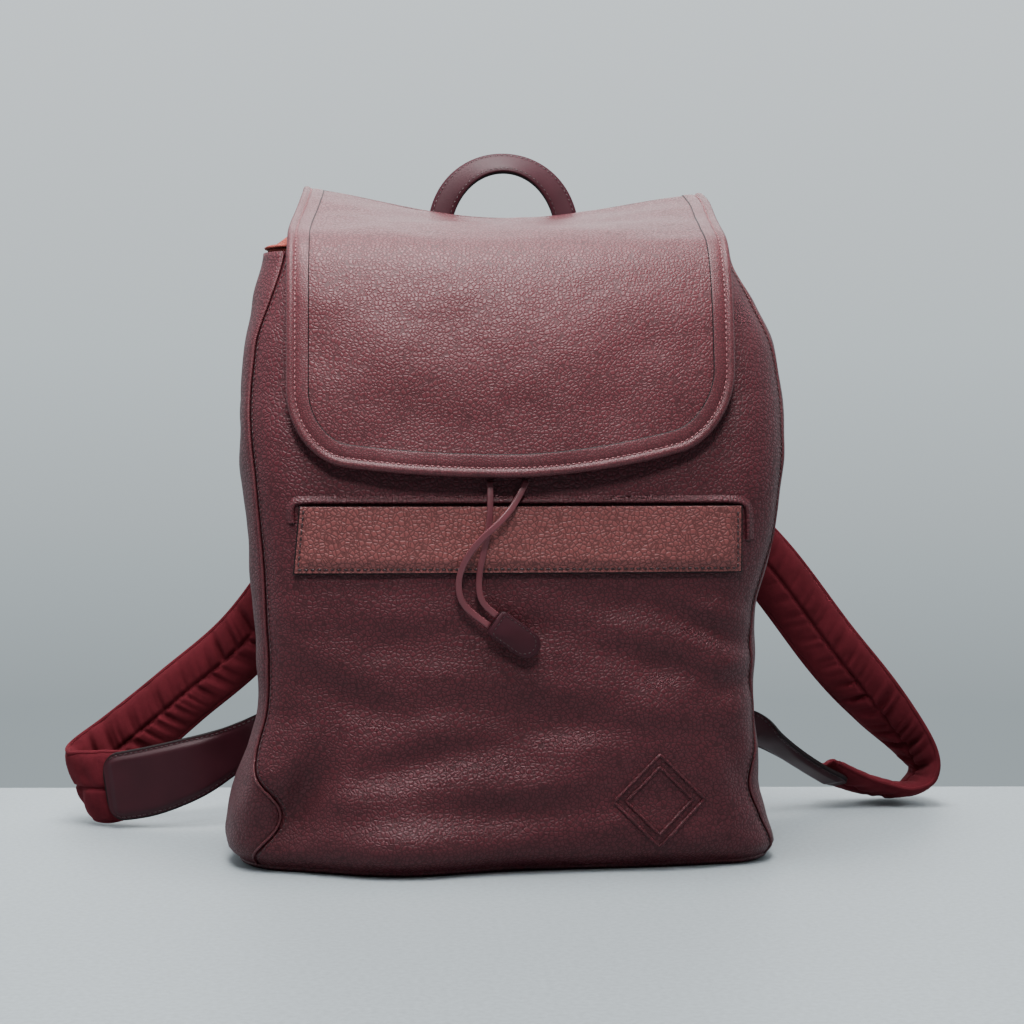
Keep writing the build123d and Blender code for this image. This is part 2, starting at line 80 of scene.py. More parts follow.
def new_material(name, **shader_values):
    """A material with its shader, its tree and object coordinates ready."""
    made = bpy.data.materials.new(name)
    made.use_nodes = True
    tree = made.node_tree
    shader = tree.nodes["Principled BSDF"]
    for key, value in shader_values.items():
        shader.inputs[key.replace("_", " ")].default_value = value
    place = add_node(tree, "ShaderNodeTexCoord").outputs["Object"]
    return made, tree, shader, place


# Calf leather, drum-tumbled so its grain stands up in pebbles about 2 mm across. The
# creases between pebbles are painted darker as shade, and their tops are faintly polished.
def pebbled_calf(name, shade, pebble_mm, depth, rough):
    made, tree, shader, place = new_material(name, IOR=1.5, Specular_IOR_Level=0.3)
    cells = 1000.0 / pebble_mm
    wander = add_node(tree, "ShaderNodeTexNoise", {"Scale": cells * 0.4, "Detail": 1.0},
                      {"Vector": place})
    bent = add_node(tree, "ShaderNodeVectorMath", {1: (0.75 / cells,) * 3},
                    {0: wander.outputs["Color"], 2: place}, operation="MULTIPLY_ADD")
    pebbles = add_node(tree, "ShaderNodeTexVoronoi", {"Scale": cells, "Randomness": 1.0},
                       {"Vector": bent.outputs[0]}, feature="DISTANCE_TO_EDGE")
    rounds = add_node(tree, "ShaderNodeMapRange", {"From Min": 0.0, "From Max": 0.3},
                      {"Value": pebbles.outputs["Distance"]}, interpolation_type="SMOOTHSTEP")
    broad = add_node(tree, "ShaderNodeTexNoise", {"Scale": cells * 0.22, "Detail": 2.0},
                     {"Vector": place})
    height = add_node(tree, "ShaderNodeMath", {1: 2.4}, {0: broad.outputs["Fac"],
                                                         2: rounds.outputs["Result"]},
                      operation="MULTIPLY_ADD")
    # painted shade: the creases between pebbles are darkened to half the leather's colour
    painted_crease_shade = [c * 0.5 for c in shade[:3]] + [1.0]
    tint = add_node(tree, "ShaderNodeValToRGB", {}, {"Fac": rounds.outputs["Result"]},
                    [(0.0, painted_crease_shade), (0.5, shade)])
    patches = add_node(tree, "ShaderNodeTexNoise", {"Scale": 11.0, "Detail": 4.0}, {"Vector": place})
    cloudy = add_node(tree, "ShaderNodeValToRGB", {}, {"Fac": patches.outputs["Fac"]},
                      [(0.3, [0.85, 0.82, 0.82, 1.0]), (0.7, [1.0, 1.0, 1.0, 1.0])])
    base = add_node(tree, "ShaderNodeMix", {"Factor": 1.0},
                    {6: tint.outputs["Color"], 7: cloudy.outputs["Color"]},
                    data_type="RGBA", blend_type="MULTIPLY")
    tree.links.new(base.outputs[2], shader.inputs["Base Color"])
    shine = add_node(tree, "ShaderNodeMapRange", {"To Min": rough + 0.14, "To Max": rough},
                     {"Value": rounds.outputs["Result"]})
    tree.links.new(shine.outputs["Result"], shader.inputs["Roughness"])
    bump = add_node(tree, "ShaderNodeBump", {"Strength": 1.0, "Distance": depth * MM},
                    {"Height": height.outputs[0]})
    tree.links.new(bump.outputs["Normal"], shader.inputs["Normal"])
    return made


# Smooth calf: the same hide, plated flat, so only pores and faint cloudiness are left.
def smooth_calf(name, shade, rough):
    made, tree, shader, place = new_material(name, IOR=1.5, Roughness=rough)
    pores = add_node(tree, "ShaderNodeTexVoronoi", {"Scale": 1000.0 / 0.9}, {"Vector": place})
    cloud = add_node(tree, "ShaderNodeTexNoise", {"Scale": 45.0, "Detail": 5.0}, {"Vector": place})
    dark = [c * 0.72 for c in shade[:3]] + [1.0]
    tint = add_node(tree, "ShaderNodeValToRGB", {}, {"Fac": cloud.outputs["Fac"]},
                    [(0.3, dark), (0.7, shade)])
    tree.links.new(tint.outputs["Color"], shader.inputs["Base Color"])
    shine = add_node(tree, "ShaderNodeMapRange", {"To Min": rough - 0.08, "To Max": rough + 0.1},
                     {"Value": cloud.outputs["Fac"]})
    tree.links.new(shine.outputs["Result"], shader.inputs["Roughness"])
    both = add_node(tree, "ShaderNodeMath", {1: 0.5}, {0: pores.outputs["Distance"],
                                                       2: cloud.outputs["Fac"]},
                    operation="MULTIPLY_ADD")
    bump = add_node(tree, "ShaderNodeBump", {"Strength": 0.25, "Distance": 0.0002},
                    {"Height": both.outputs[0]})
    tree.links.new(bump.outputs["Normal"], shader.inputs["Normal"])
    return made


# Brushed cotton with a short nap, piece-dyed deep red. The nap lights up at grazing
# angles, and rubbing lays it in paler and darker drifts.
def brushed_cotton(name, shade, pale, fibre_mm, nap):
    made, tree, shader, place = new_material(
        name, Roughness=0.95, Sheen_Weight=nap, Sheen_Roughness=0.4,
        Sheen_Tint=pale, Specular_IOR_Level=0.1)
    drift = add_node(tree, "ShaderNodeTexNoise", {"Scale": 60.0, "Detail": 8.0, "Roughness": 0.7},
                     {"Vector": place})
    fibre = add_node(tree, "ShaderNodeTexNoise", {"Scale": 1000.0 / fibre_mm, "Detail": 5.0},
                     {"Vector": place})
    dark = [c * 0.72 for c in shade[:3]] + [1.0]
    light = [c * 1.25 for c in shade[:3]] + [1.0]
    tint = add_node(tree, "ShaderNodeValToRGB", {}, {"Fac": drift.outputs["Fac"]},
                    [(0.3, dark), (0.5, shade), (0.72, light)])
    tree.links.new(tint.outputs["Color"], shader.inputs["Base Color"])
    bump = add_node(tree, "ShaderNodeBump", {"Strength": 0.6, "Distance": 0.0003},
                    {"Height": fibre.outputs["Fac"]})
    tree.links.new(bump.outputs["Normal"], shader.inputs["Normal"])
    return made


# Plain surfaces: a noise in roughness and a fine bump keep them from looking moulded.
def plain_finish(name, shade, rough, metal, grain_mm, depth):
    made, tree, shader, place = new_material(name, Metallic=metal)
    grain = add_node(tree, "ShaderNodeTexNoise", {"Scale": 1000.0 / grain_mm, "Detail": 4.0},
                     {"Vector": place})
    dark = [c * 0.8 for c in shade[:3]] + [1.0]
    tint = add_node(tree, "ShaderNodeValToRGB", {}, {"Fac": grain.outputs["Fac"]},
                    [(0.3, dark), (0.7, shade)])
    tree.links.new(tint.outputs["Color"], shader.inputs["Base Color"])
    shine = add_node(tree, "ShaderNodeMapRange", {"To Min": rough - 0.07, "To Max": rough + 0.07},
                     {"Value": grain.outputs["Fac"]})
    tree.links.new(shine.outputs["Result"], shader.inputs["Roughness"])
    bump = add_node(tree, "ShaderNodeBump", {"Strength": depth, "Distance": 0.0002},
                    {"Height": grain.outputs["Fac"]})
    tree.links.new(bump.outputs["Normal"], shader.inputs["Normal"])
    return made


body_calf = pebbled_calf("pebbled calf leather", colour("4e1c24"), 2.3, 0.2, 0.46)
# painted light: the flap is the body's leather, given a lighter shade for the light its face catches
flap_calf_painted_lighter = pebbled_calf("pebbled flap calf leather, painted lighter", colour("5a282e"), 2.1, 0.17, 0.42)
# painted light: the pocket strip is the body's leather with a looser grain, given a lighter shade for
# the light its face catches
loose_calf_painted_lighter = pebbled_calf("loose-grained calf leather, painted lighter", colour("76403f"), 2.5, 0.24, 0.4)
band_calf = pebbled_calf("fine-grained calf leather", colour("5b2a30"), 1.5, 0.08, 0.4)
dark_calf = smooth_calf("dark smooth calf leather", colour("35111a"), 0.5)
cord_calf = smooth_calf("cord leather", colour("602c33"), 0.42)
edge_paint = plain_finish("black-red edge paint", colour("14070a"), 0.6, 0.0, 2.0, 0.1)
thread = plain_finish("dark bonded thread", colour("2a0f13"), 0.5, 0.0, 0.6, 0.3)
pale_thread = plain_finish("rose bonded thread", colour("7a4449"), 0.5, 0.0, 0.6, 0.3)
strap_cotton = brushed_cotton("brushed strap cotton", colour("511920"), colour("a05058"), 0.8, 0.3)
lining_cotton = brushed_cotton("rust lining cotton", colour("84403a"), colour("b0685c"), 0.7, 0.2)
steel = plain_finish("dark brushed steel", colour("6b6462"), 0.35, 1.0, 0.8, 0.15)
board = plain_finish("stiffener board", colour("6b5238"), 0.85, 0.0, 1.2, 0.4)
for dull in (edge_paint, dark_calf):
    dull.node_tree.nodes["Principled BSDF"].inputs["Specular IOR Level"].default_value = 0.22


# ---------------------------------------------------------------- small maths
def along_curve(points, t):
    """A smooth curve through points (tuples), with t from 0 to 1."""
    last = len(points) - 1
    place = min(max(t, 0.0), 1.0) * last
    i = min(int(place), last - 1)
    f = place - i
    p0, p1 = points[max(i - 1, 0)], points[i]
    p2, p3 = points[i + 1], points[min(i + 2, last)]
    return tuple(
        0.5 * (2 * b + (c - a) * f + (2 * a - 5 * b + 4 * c - d) * f ** 2
               + (3 * b - a - 3 * c + d) * f ** 3)
        for a, b, c, d in zip(p0, p1, p2, p3))


def table_at(rows, key):
    """Rows are (key, values...), read smoothly at a key between them."""
    key = min(max(key, rows[0][0]), rows[-1][0])
    for i, (low, high) in enumerate(zip(rows, rows[1:])):
        if low[0] <= key <= high[0]:
            share = (key - low[0]) / (high[0] - low[0])
            return along_curve(rows, (i + share) / (len(rows) - 1))[1:]
    return rows[-1][1:]


def smooth_step(low, high, value):
    t = min(max((value - low) / (high - low), 0.0), 1.0)
    return t * t * (3 - 2 * t)


def build(name, points, faces, materials, body, stands_for=()):
    """A piece from its points (mm) and faces, riding on a body."""
    mesh = bpy.data.meshes.new(name)
    mesh.from_pydata([tuple(c * MM for c in p) for p in points], [], faces)
    return place_piece(name, mesh, materials, body, stands_for)


def place_piece(name, mesh, materials, body, stands_for):
    """A smooth-shaded piece from its mesh, in its finish and riding on its body."""
    piece = bpy.data.objects.new(name, mesh)
    bpy.context.collection.objects.link(piece)
    mesh.materials.clear()
    for material in materials:
        mesh.materials.append(material)
    mesh.polygons.foreach_set("use_smooth", [True] * len(mesh.polygons))
    if body:
        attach(piece, body)
    if stands_for:
        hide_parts(*stands_for)
    return piece


def net(rows, cols, wrap=False, flip=False):
    """Four-sided faces of a net of points, row by row."""
    faces = []
    for r in range(rows - 1):
        for c in range(cols if wrap else cols - 1):
            a, b = r * cols + c, r * cols + (c + 1) % cols
            quad = (a, b, b + cols, a + cols)
            faces.append(quad[::-1] if flip else quad)
    return faces


def capped_net(rows, cols, flip=False):
    """A net wrapped into a tube, with a face over each end."""
    start, end = tuple(range(cols)), tuple(range((rows - 1) * cols, rows * cols))
    caps = [start, end[::-1]] if flip else [start[::-1], end]
    return net(rows, cols, wrap=True, flip=flip) + caps


def gathered(rings, middle, shares, flip=False):
    """Rings, the last drawn in to a middle point by shares: their points and faces."""
    count = len(rings[-1])
    rings = rings + [[middle + (p - middle) * share for p in rings[-1]] for share in shares]
    points = [p for ring in rings for p in ring] + [middle]
    inner, last = (len(rings) - 1) * count, len(points) - 1
    faces = net(len(rings), count, wrap=True, flip=flip)
    for i in range(count):
        a, b = inner + i, inner + (i + 1) % count
        faces.append((b, a, last) if flip else (a, b, last))
    return points, faces


def apply_modifier(piece, kind, **settings):
    """A modifier with its settings, applied."""
    made = piece.modifiers.new(kind.lower(), kind)
    for key, value in settings.items():
        setattr(made, key, value)
    bpy.context.view_layer.objects.active = piece
    with bpy.context.temp_override(object=piece, active_object=piece):
        bpy.ops.object.modifier_apply(modifier=made.name)


def thicken(piece, thickness_mm, edge=0, bevel_mm=0.0):
    """Gives a sheet its thickness inwards; its cut edges may take another material."""
    apply_modifier(piece, "SOLIDIFY", thickness=thickness_mm * MM, offset=-1.0,
                   use_even_offset=True, use_quality_normals=True, material_offset_rim=edge)
    if bevel_mm:
        apply_modifier(piece, "BEVEL", width=bevel_mm * MM, segments=2, limit_method="ANGLE",
                       angle_limit=math.radians(50))


# ---------------------------------------------------------------- the body's soft form
# height, left half width, right half width, front, how far the front's ends stand back, corner
FORM = [
    (0.0, 156.0, 144.0, -72.0, 8.0, 30.0),
    (10.0, 165.0, 150.0, -82.0, 10.0, 32.0),
    (26.0, 165.5, 145.5, -86.0, 11.0, 34.0),
    (45.0, 160.5, 139.0, -87.0, 10.0, 34.0),
    (68.0, 154.0, 137.5, -86.0, 8.0, 34.0),
    (92.0, 149.5, 136.5, -85.0, 6.0, 34.0),
    (118.0, 149.0, 134.5, -84.0, 4.0, 34.0),
    (144.0, 150.0, 136.0, -83.0, 3.0, 34.0),
    (168.0, 151.5, 143.0, -82.5, 2.0, 34.0),
    (190.0, 153.5, 149.0, -82.0, 1.5, 34.0),
    (218.0, 156.0, 152.5, -82.0, 1.5, 34.0),
    (247.0, 158.5, 153.5, -80.0, 3.0, 34.0),
    (268.0, 158.5, 153.5, -77.5, 5.0, 34.0),
    (294.0, 156.0, 148.5, -74.0, 6.0, 34.0),
    (322.0, 151.0, 137.0, -68.0, 7.0, 34.0),
    (348.0, 146.5, 126.0, -58.0, 8.0, 32.0),
]
BACK = 75.0
RIM = 348.0
LEATHER = 1.9  # thickness of the body's leather
TUCK = -1.3  # how far a panel's edge is turned in at its seams
MIDDLE = (4.0, -2.0)  # middle of the base: x, y


def back_at(z):
    return BACK - 8.0 * (1.0 - smooth_step(0.0, 14.0, z))


# Soft dents and wrinkles of the front: x, z, half length, half height, tilt in degrees, depth
DENTS = [
    (-60.0, 60.0, 70.0, 9.0, 14.0, 2.6),
    (-95.0, 96.0, 40.0, 9.0, -24.0, 2.0),
    (20.0, 84.0, 85.0, 10.0, -6.0, 2.6),
    (70.0, 118.0, 60.0, 8.0, -16.0, 2.2),
    (112.0, 132.0, 36.0, 6.0, -24.0, 3.2),
    (124.0, 104.0, 26.0, 7.0, 20.0, 2.0),
    (-20.0, 32.0, 90.0, 8.0, 4.0, 2.2),
    (-122.0, 42.0, 26.0, 12.0, 58.0, 8.0),
    (-131.0, 74.0, 26.0, 6.0, 78.0, 3.4),
    (-66.0, 36.0, 60.0, 10.0, 4.0, 2.4),
    (120.0, 60.0, 26.0, 8.0, -66.0, 2.2),
    (0.0, 138.0, 70.0, 10.0, 5.0, 1.5),
    (-70.0, 128.0, 46.0, 9.0, -10.0, 1.3),
]


def folds(x, z):
    """How far the front stands back from its plain form, in mm, at a place."""
    depth = 0.0
    for dx, dz, long, high, tilt, deep in DENTS:
        turn = math.radians(tilt)
        u = (x - dx) * math.cos(turn) + (z - dz) * math.sin(turn)
        v = -(x - dx) * math.sin(turn) + (z - dz) * math.cos(turn)
        depth += deep * math.exp(-(u / long) ** 2 - (v / high) ** 2)
        depth -= 0.55 * deep * math.exp(-(u / long) ** 2 - ((v - 1.9 * high) / high) ** 2)
    calm = 1.0 - smooth_step(150.0, 172.0, z)
    rumple = noise.noise(Vector((x / 84.0, z / 46.0, 12.4))) * 3.6
    rumple += noise.noise(Vector((x / 46.0, z / 28.0, 3.1))) * 1.7
    rumple += noise.noise(Vector((x / 19.0, z / 12.0, 8.7))) * 0.6
    foot = 16.0 * math.exp(-((x + 68.0) / 48.0) ** 2) * (1.0 - smooth_step(6.0, 66.0, z))
    return (depth - rumple) * calm * smooth_step(2.0, 16.0, z) - foot


def plan_point(z, d):
    """The body's outline at a height: d runs from the front's middle, to the right if positive."""
    left, right, front, stand, r = table_at(FORM, z)
    back = back_at(z)
    half = right if d >= 0 else left
    sign = 1.0 if d >= 0 else -1.0
    d = abs(d)
    flat, quarter, side = plan_sizes(z, sign)
    if d <= flat:
        share = d / flat
        x, y = d, front + stand * share ** 2.6
        nx, ny = 0.12 * share, -1.0
    elif d <= flat + quarter:
        a = (d - flat) / r
        x, y = flat + r * math.sin(a), front + stand + r - r * math.cos(a)
        nx, ny = math.sin(a), -math.cos(a)
    elif d <= flat + quarter + side:
        x, y = half, front + stand + r + (d - flat - quarter)
        nx, ny = 1.0, 0.0
    elif d <= flat + 2 * quarter + side:
        a = (d - flat - quarter - side) / r
        x, y = half - r + r * math.cos(a), back - r + r * math.sin(a)
        nx, ny = math.cos(a), math.sin(a)
    else:
        x, y = flat - (d - flat - 2 * quarter - side), back
        nx, ny = 0.0, 1.0
    return Vector((sign * x, y, z)), Vector((sign * nx, ny, 0.0)).normalized()


def plan_sizes(z, sign):
    """One side of the outline: half its flat front, a corner's arc, and the side's length."""
    left, right, front, stand, r = table_at(FORM, z)
    half = right if sign > 0 else left
    flat = half - r
    quarter = math.pi * r / 2
    side = (back_at(z) - r) - (front + stand + r)
    return flat, quarter, side


def skin_point(z, d, lift=0.0):
    """A point on the body's leather, with its folds; lift stands it off the surface."""
    spot, out = plan_point(z, d)
    flat, quarter, side = plan_sizes(z, d)
    into_side = smooth_step(flat + quarter * 0.2, flat + quarter, abs(d))
    move = -folds(spot.x, z) * (1.0 - into_side)
    if into_side:
        back_calm = 1.0 - smooth_step(flat + quarter + side * 0.55, flat + quarter + side, abs(d))
        slack = noise.noise(Vector((spot.y / 34.0, z / 42.0, 5.5 + (11 if d > 0 else 0)))) * 3.4
        slack += noise.noise(Vector((spot.y / 15.0, z / 19.0, 1.5))) * 1.1
        pleat = -5.0 * math.exp(-((spot.y - 4.0) / 20.0) ** 2) * smooth_step(190.0, 330.0, z)
        move += (slack + pleat) * into_side * back_calm * smooth_step(3.0, 20.0, z)
    # behind the left end of the mouth the leather stands a little higher
    high = 8.0 * smooth_step(-146.0, -130.0, spot.x) * smooth_step(-110.0, -124.0, spot.x)
    high *= smooth_step(5.0, 45.0, spot.y) * smooth_step(318.0, 348.0, z)
    return spot + out * (move + lift) + Vector((0.0, 0.0, high))


def front_y(x, z, lift=0.0):
    """Where the front surface is at (x, z), for what lies on it."""
    return skin_point(z, x, lift).y


def seam_at(z, sign):
    """Where a front corner's seam stands round the outline at a height."""
    flat, quarter, _ = plan_sizes(z, sign)
    share = 0.56 if sign < 0 else 0.72
    place = flat + quarter * share
    if sign < 0:
        place -= 26.0 * math.exp(-((z - 30.0) / 22.0) ** 2) + 9.0 * smooth_step(290.0, 348.0, z)
    else:
        place -= 8.0 * math.exp(-((z - 40.0) / 26.0) ** 2)
    return sign * place


def back_seam_at(z, sign):
    """Where a back corner's seam stands round the outline at a height."""
    flat, quarter, side = plan_sizes(z, sign)
    return sign * (flat + quarter * 1.35 + side)


def back_middle(z, sign):
    """How far round the outline the back's middle is, at a height."""
    flat, quarter, side = plan_sizes(z, sign)
    left, right = table_at(FORM, z)[:2]
    half = right if sign > 0 else left
    return sign * (flat + 2 * quarter + side + half - table_at(FORM, z)[4])


HEIGHTS = [0.0, 1.2, 3.5, 7.0] + [10.0 + 338.0 * i / 118 for i in range(119)]


def panel_shares(count):
    """Shares across a panel, with two close lines beside each seam."""
    middle = [0.035 + 0.93 * i / (count - 1) for i in range(count)]
    return [0.0, 0.012] + middle + [0.988, 1.0]


def body_panel(name, start, end, count, stands_for):
    """One leather panel of the body between two seams, its edges tucked in."""
    shares = panel_shares(count)
    points = []
    for z in HEIGHTS:
        a, b = start(z), end(z)
        for t in shares:
            tuck = TUCK if t in (0.0, 1.0) else 0.0
            points.append(skin_point(z, a + (b - a) * t, tuck))
    piece = build(name, points, net(len(HEIGHTS), len(shares)), [body_calf, edge_paint], "bag",
                  stands_for)
    thicken(piece, LEATHER, edge=1)


body_panel("front_leather", lambda z: seam_at(z, -1), lambda z: seam_at(z, 1), 104, ["front_panel"])
body_panel("gusset_left_leather", lambda z: back_seam_at(z, -1), lambda z: seam_at(z, -1), 34,
           ["side_gusset_left"])
body_panel("gusset_right_leather", lambda z: seam_at(z, 1), lambda z: back_seam_at(z, 1), 34,
           ["side_gusset_right"])


def back_leather_panel():
    """The back panel runs from the right back seam round to the left one."""
    points = []
    count = 70
    for z in HEIGHTS:
        for i in range(count):
            t = 2.0 * i / (count - 1)
            if t <= 1.0:
                a, b = back_seam_at(z, 1), back_middle(z, 1)
                d = a + (b - a) * t
            else:
                a, b = back_middle(z, -1), back_seam_at(z, -1)
                d = a + (b - a) * (t - 1.0)
            tuck = TUCK if i in (0, count - 1) else 0.0
            points.append(skin_point(z, d, tuck))
    piece = build("back_leather", points, net(len(HEIGHTS), count), [body_calf, edge_paint], "bag",
                  ["back_panel"])
    thicken(piece, LEATHER, edge=1)


back_leather_panel()


def around(z, lift, count=160):
    """A closed ring of points round the body at a height."""
    ring = []
    ends = (back_middle(z, -1), back_middle(z, 1))
    for i in range(count):
        d = ends[0] + (ends[1] - ends[0]) * i / count
        ring.append(skin_point(z, d, lift))
    return ring


def base_leather():
    """The flat base, closed over to its middle."""
    points, faces = gathered([around(0.0, 0.0)], Vector((*MIDDLE, 0.0)),
                             (0.985, 0.9, 0.7, 0.4, 0.12), flip=True)
    piece = build("base_leather", points, faces, [body_calf, edge_paint], "bag",
                  ["base_panel"])
    thicken(piece, 1.8, edge=1)


base_leather()


# ---------------------------------------------------------------- lining and mouth
def mouth_rise(p):
    """The cloth stands up past the leather behind the mouth's gaping ends."""
    back_part = smooth_step(5.0, 45.0, p.y)
    left = (6.0 + 11.0 * smooth_step(-146.0, -128.0, p.x)) * smooth_step(-70.0, -110.0, p.x)
    right = 5.0 * smooth_step(95.0, 112.0, p.x)
    return (left + right) * back_part


def mouth_ring(z, lift):
    """A ring round the inside, raised with the mouth where it's near the mouth."""
    share = smooth_step(318.0, 349.0, z)
    return [Vector((p.x, p.y, z + mouth_rise(p) * share)) for p in around(min(z, RIM), lift)]


def lining_shell():
    """The cloth lining, from its rolled top edge down the inside to its floor."""
    levels = [348.5] + [340.0 - 333.0 * i / 40 for i in range(41)]
    rings = [mouth_ring(349.5, -2.6)] + [mouth_ring(z, -4.2) for z in levels]
    points, faces = gathered(rings, Vector((*MIDDLE, 7.0)), (0.9, 0.5, 0.1))
    piece = build("lining_cloth", points, faces, [lining_cotton], "bag",
                  ["body_lining", "back_padding"])
    apply_modifier(piece, "SOLIDIFY", thickness=0.8 * MM, offset=0.0)


lining_shell()


def mouth_facing():
    """Facing inside the mouth, faced with the lining's cloth; the drawstring runs behind it."""
    rows = [mouth_ring(z, lift) for z, lift in (
        (350.3, -1.0), (351.2, -2.4), (350.2, -4.6), (346.0, -5.6), (334.0, -6.2),
        (322.0, -6.6), (311.0, -6.0))]
    points = [p for row in rows for p in row]
    piece = build("mouth_facing", points, net(len(rows), len(rows[0]), wrap=True),
                  [lining_cotton], "bag", ["rim_facing"])
    apply_modifier(piece, "SOLIDIFY", thickness=1.0 * MM, offset=1.0)


mouth_facing()


def tube(name, points, radius, material, body, stands_for=(), closed=False, sides=10):
    """A round tube along points in mm, as a mesh."""
    line = bpy.data.curves.new(name, "CURVE")
    line.dimensions = "3D"
    line.bevel_depth = radius * MM
    line.bevel_resolution = max(1, sides // 4 - 1)
    line.use_fill_caps = True
    run = line.splines.new("POLY")
    run.points.add(len(points) - 1)
    for spot, p in zip(run.points, points):
        spot.co = (p[0] * MM, p[1] * MM, p[2] * MM, 1.0)
    run.use_cyclic_u = closed
    curve = bpy.data.objects.new(name + "_line", line)
    bpy.context.collection.objects.link(curve)
    mesh = bpy.data.meshes.new_from_object(curve)
    mesh.name = name
    bpy.data.objects.remove(curve)
    place_piece(name, mesh, [material], body, stands_for)


tube("channel_cord", around(325.0, -4.0, 120), 1.3, dark_calf, "bag",
     ["drawstring_loop"], closed=True)


# ---------------------------------------------------------------- stitching and piping
def stitch_line(name, places, body, pitch=3.4, long=2.3, wide=0.62, material=None):
    """A row of raised stitches. places are (point, outward) pairs in mm along the line."""
    spots = []
    walked = 0.0
    due = pitch / 2
    for (a, na), (b, nb) in zip(places, places[1:]):
        step = (b - a).length
        while step and due <= walked + step:
            share = (due - walked) / step
            spots.append((a.lerp(b, share), (b - a).normalized(), na.lerp(nb, share).normalized()))
            due += pitch
        walked += step
    points, faces = [], []
    ring = ((-1.0, 0.0), (-0.6, 0.85), (0.6, 0.85), (1.0, 0.0))
    for centre, ahead, out in spots:
        side = ahead.cross(out).normalized()
        first = len(points)
        for place, swell in ((-0.5, 0.25), (-0.3, 0.95), (0.3, 0.95), (0.5, 0.25)):
            for across, up in ring:
                points.append(centre + ahead * (place * long) + side * (across * wide * swell / 1.6)
                              + out * (up * wide * swell * 0.62 - 0.12))
        for r in range(3):
            for c in range(3):
                a = first + r * 4 + c
                faces.append((a, a + 1, a + 5, a + 4))
            faces.append((first + r * 4, first + r * 4 + 4, first + r * 4 + 7, first + r * 4 + 3))
        faces.append((first + 3, first + 2, first + 1, first))
        faces.append((first + 12, first + 13, first + 14, first + 15))
    return build(name, points, faces, [material or thread], body)


def seam_places(sign, inset, low=6.0, high=346.0, lift=0.1):
    """Points beside an upright seam of the body, with the way they face."""
    places = []
    for i in range(150):
        z = low + (high - low) * i / 149
        d = seam_at(z, sign) - sign * inset
        spot = skin_point(z, d, lift)
        places.append((spot, (skin_point(z, d, lift + 5.0) - spot).normalized()))
    return places


for side_name, side_sign in (("left", -1), ("right", 1)):
    stitch_line("seam_stitches_" + side_name, seam_places(side_sign, 3.4), "bag")
    welt_line = [p for p, out in seam_places(side_sign, -0.2, 2.0, 347.0, -0.3)]
    tube("seam_welt_" + side_name, welt_line, 0.85, band_calf, "bag")


# the rolled seam where the base meets the walls
tube("base_welt", around(2.6, -0.2, 200), 1.3, body_calf, "bag", closed=True)

# ---------------------------------------------------------------- flap
FLAP_HALF = 123.0  # half the flap's width
CORNER, CORNER_TALL = 31.0, 36.0  # its round lower corners: width, height
# the flap's outer profile from the fold behind the mouth to its lower edge: y, z
FLAP_LINE = [
    (71.5, 391.2), (66.0, 390.5), (58.0, 388.6), (34.0, 382.4), (6.0, 374.0),
    (-22.0, 366.4), (-44.0, 359.4), (-59.0, 352.2), (-70.6, 341.0), (-78.6, 325.0),
    (-83.6, 306.0), (-87.0, 284.0), (-89.6, 260.0), (-91.6, 240.0), (-93.2, 222.5),
]
FLAP_STEPS = 400


def flap_lengths():
    """Close points of the flap's profile, and how far along it each of them is."""
    spots = [Vector(along_curve(FLAP_LINE, i / FLAP_STEPS)) for i in range(FLAP_STEPS + 1)]
    walked = [0.0]
    for a, b in zip(spots, spots[1:]):
        walked.append(walked[-1] + (b - a).length)
    return spots, walked


FLAP_SPOTS, FLAP_WALK = flap_lengths()
FLAP_LONG = FLAP_WALK[-1]


def flap_profile(s):
    """The profile's (y, z) a distance s along it; past its ends it runs straight on."""
    if s >= FLAP_LONG:
        end = FLAP_SPOTS[-1]
        return end + (end - FLAP_SPOTS[-2]).normalized() * (s - FLAP_LONG)
    if s <= 0.0:
        start = FLAP_SPOTS[0]
        return start + (start - FLAP_SPOTS[1]).normalized() * (-s)
    low, high = 0, FLAP_STEPS
    while high - low > 1:
        half = (low + high) // 2
        if FLAP_WALK[half] <= s:
            low = half
        else:
            high = half
    share = (s - FLAP_WALK[low]) / (FLAP_WALK[high] - FLAP_WALK[low])
    return FLAP_SPOTS[low].lerp(FLAP_SPOTS[high], share)


def top_sag(x, y):
    """The unsupported top dips in its middle, most of all at the back, and lifts at its edges."""
    share = min(abs(x) / FLAP_HALF, 1.0)
    lift = (5.5 if x < 0 else 3.2) * share ** 2
    return (12.0 * (1.0 - share ** 2) ** 2.0 - lift) * smooth_step(-42.0, 60.0, y)


def flap_place(x, s):
    """A point on the flap's outer face."""
    y, z = flap_profile(s)
    front = smooth_step(-40.0, -84.0, y)
    share = abs(x) / FLAP_HALF
    y += front * 6.5 * share ** 2.6
    lean = -5.5 * smooth_step(60.0, -50.0, y)
    soft = noise.noise(Vector((x / 44.0, s / 34.0, 2.2))) * 1.5
    soft += noise.noise(Vector((x / 19.0, s / 17.0, 9.1))) * 0.45
    soft *= 1.0 - smooth_step(0.86, 1.0, share)
    z -= top_sag(x, y) + (1.0 - front) * soft
    y -= front * (soft + 1.6 * (1.0 - share ** 2) * math.sin(math.pi * smooth_step(340.0, 232.0, z)))
    return Vector((x + lean, y, z))


def flap_facing(x, s):
    """The flap's outward direction."""
    a = flap_place(x + 1.0, s) - flap_place(x - 1.0, s)
    b = flap_place(x, s + 1.0) - flap_place(x, s - 1.0)
    return b.cross(a).normalized()


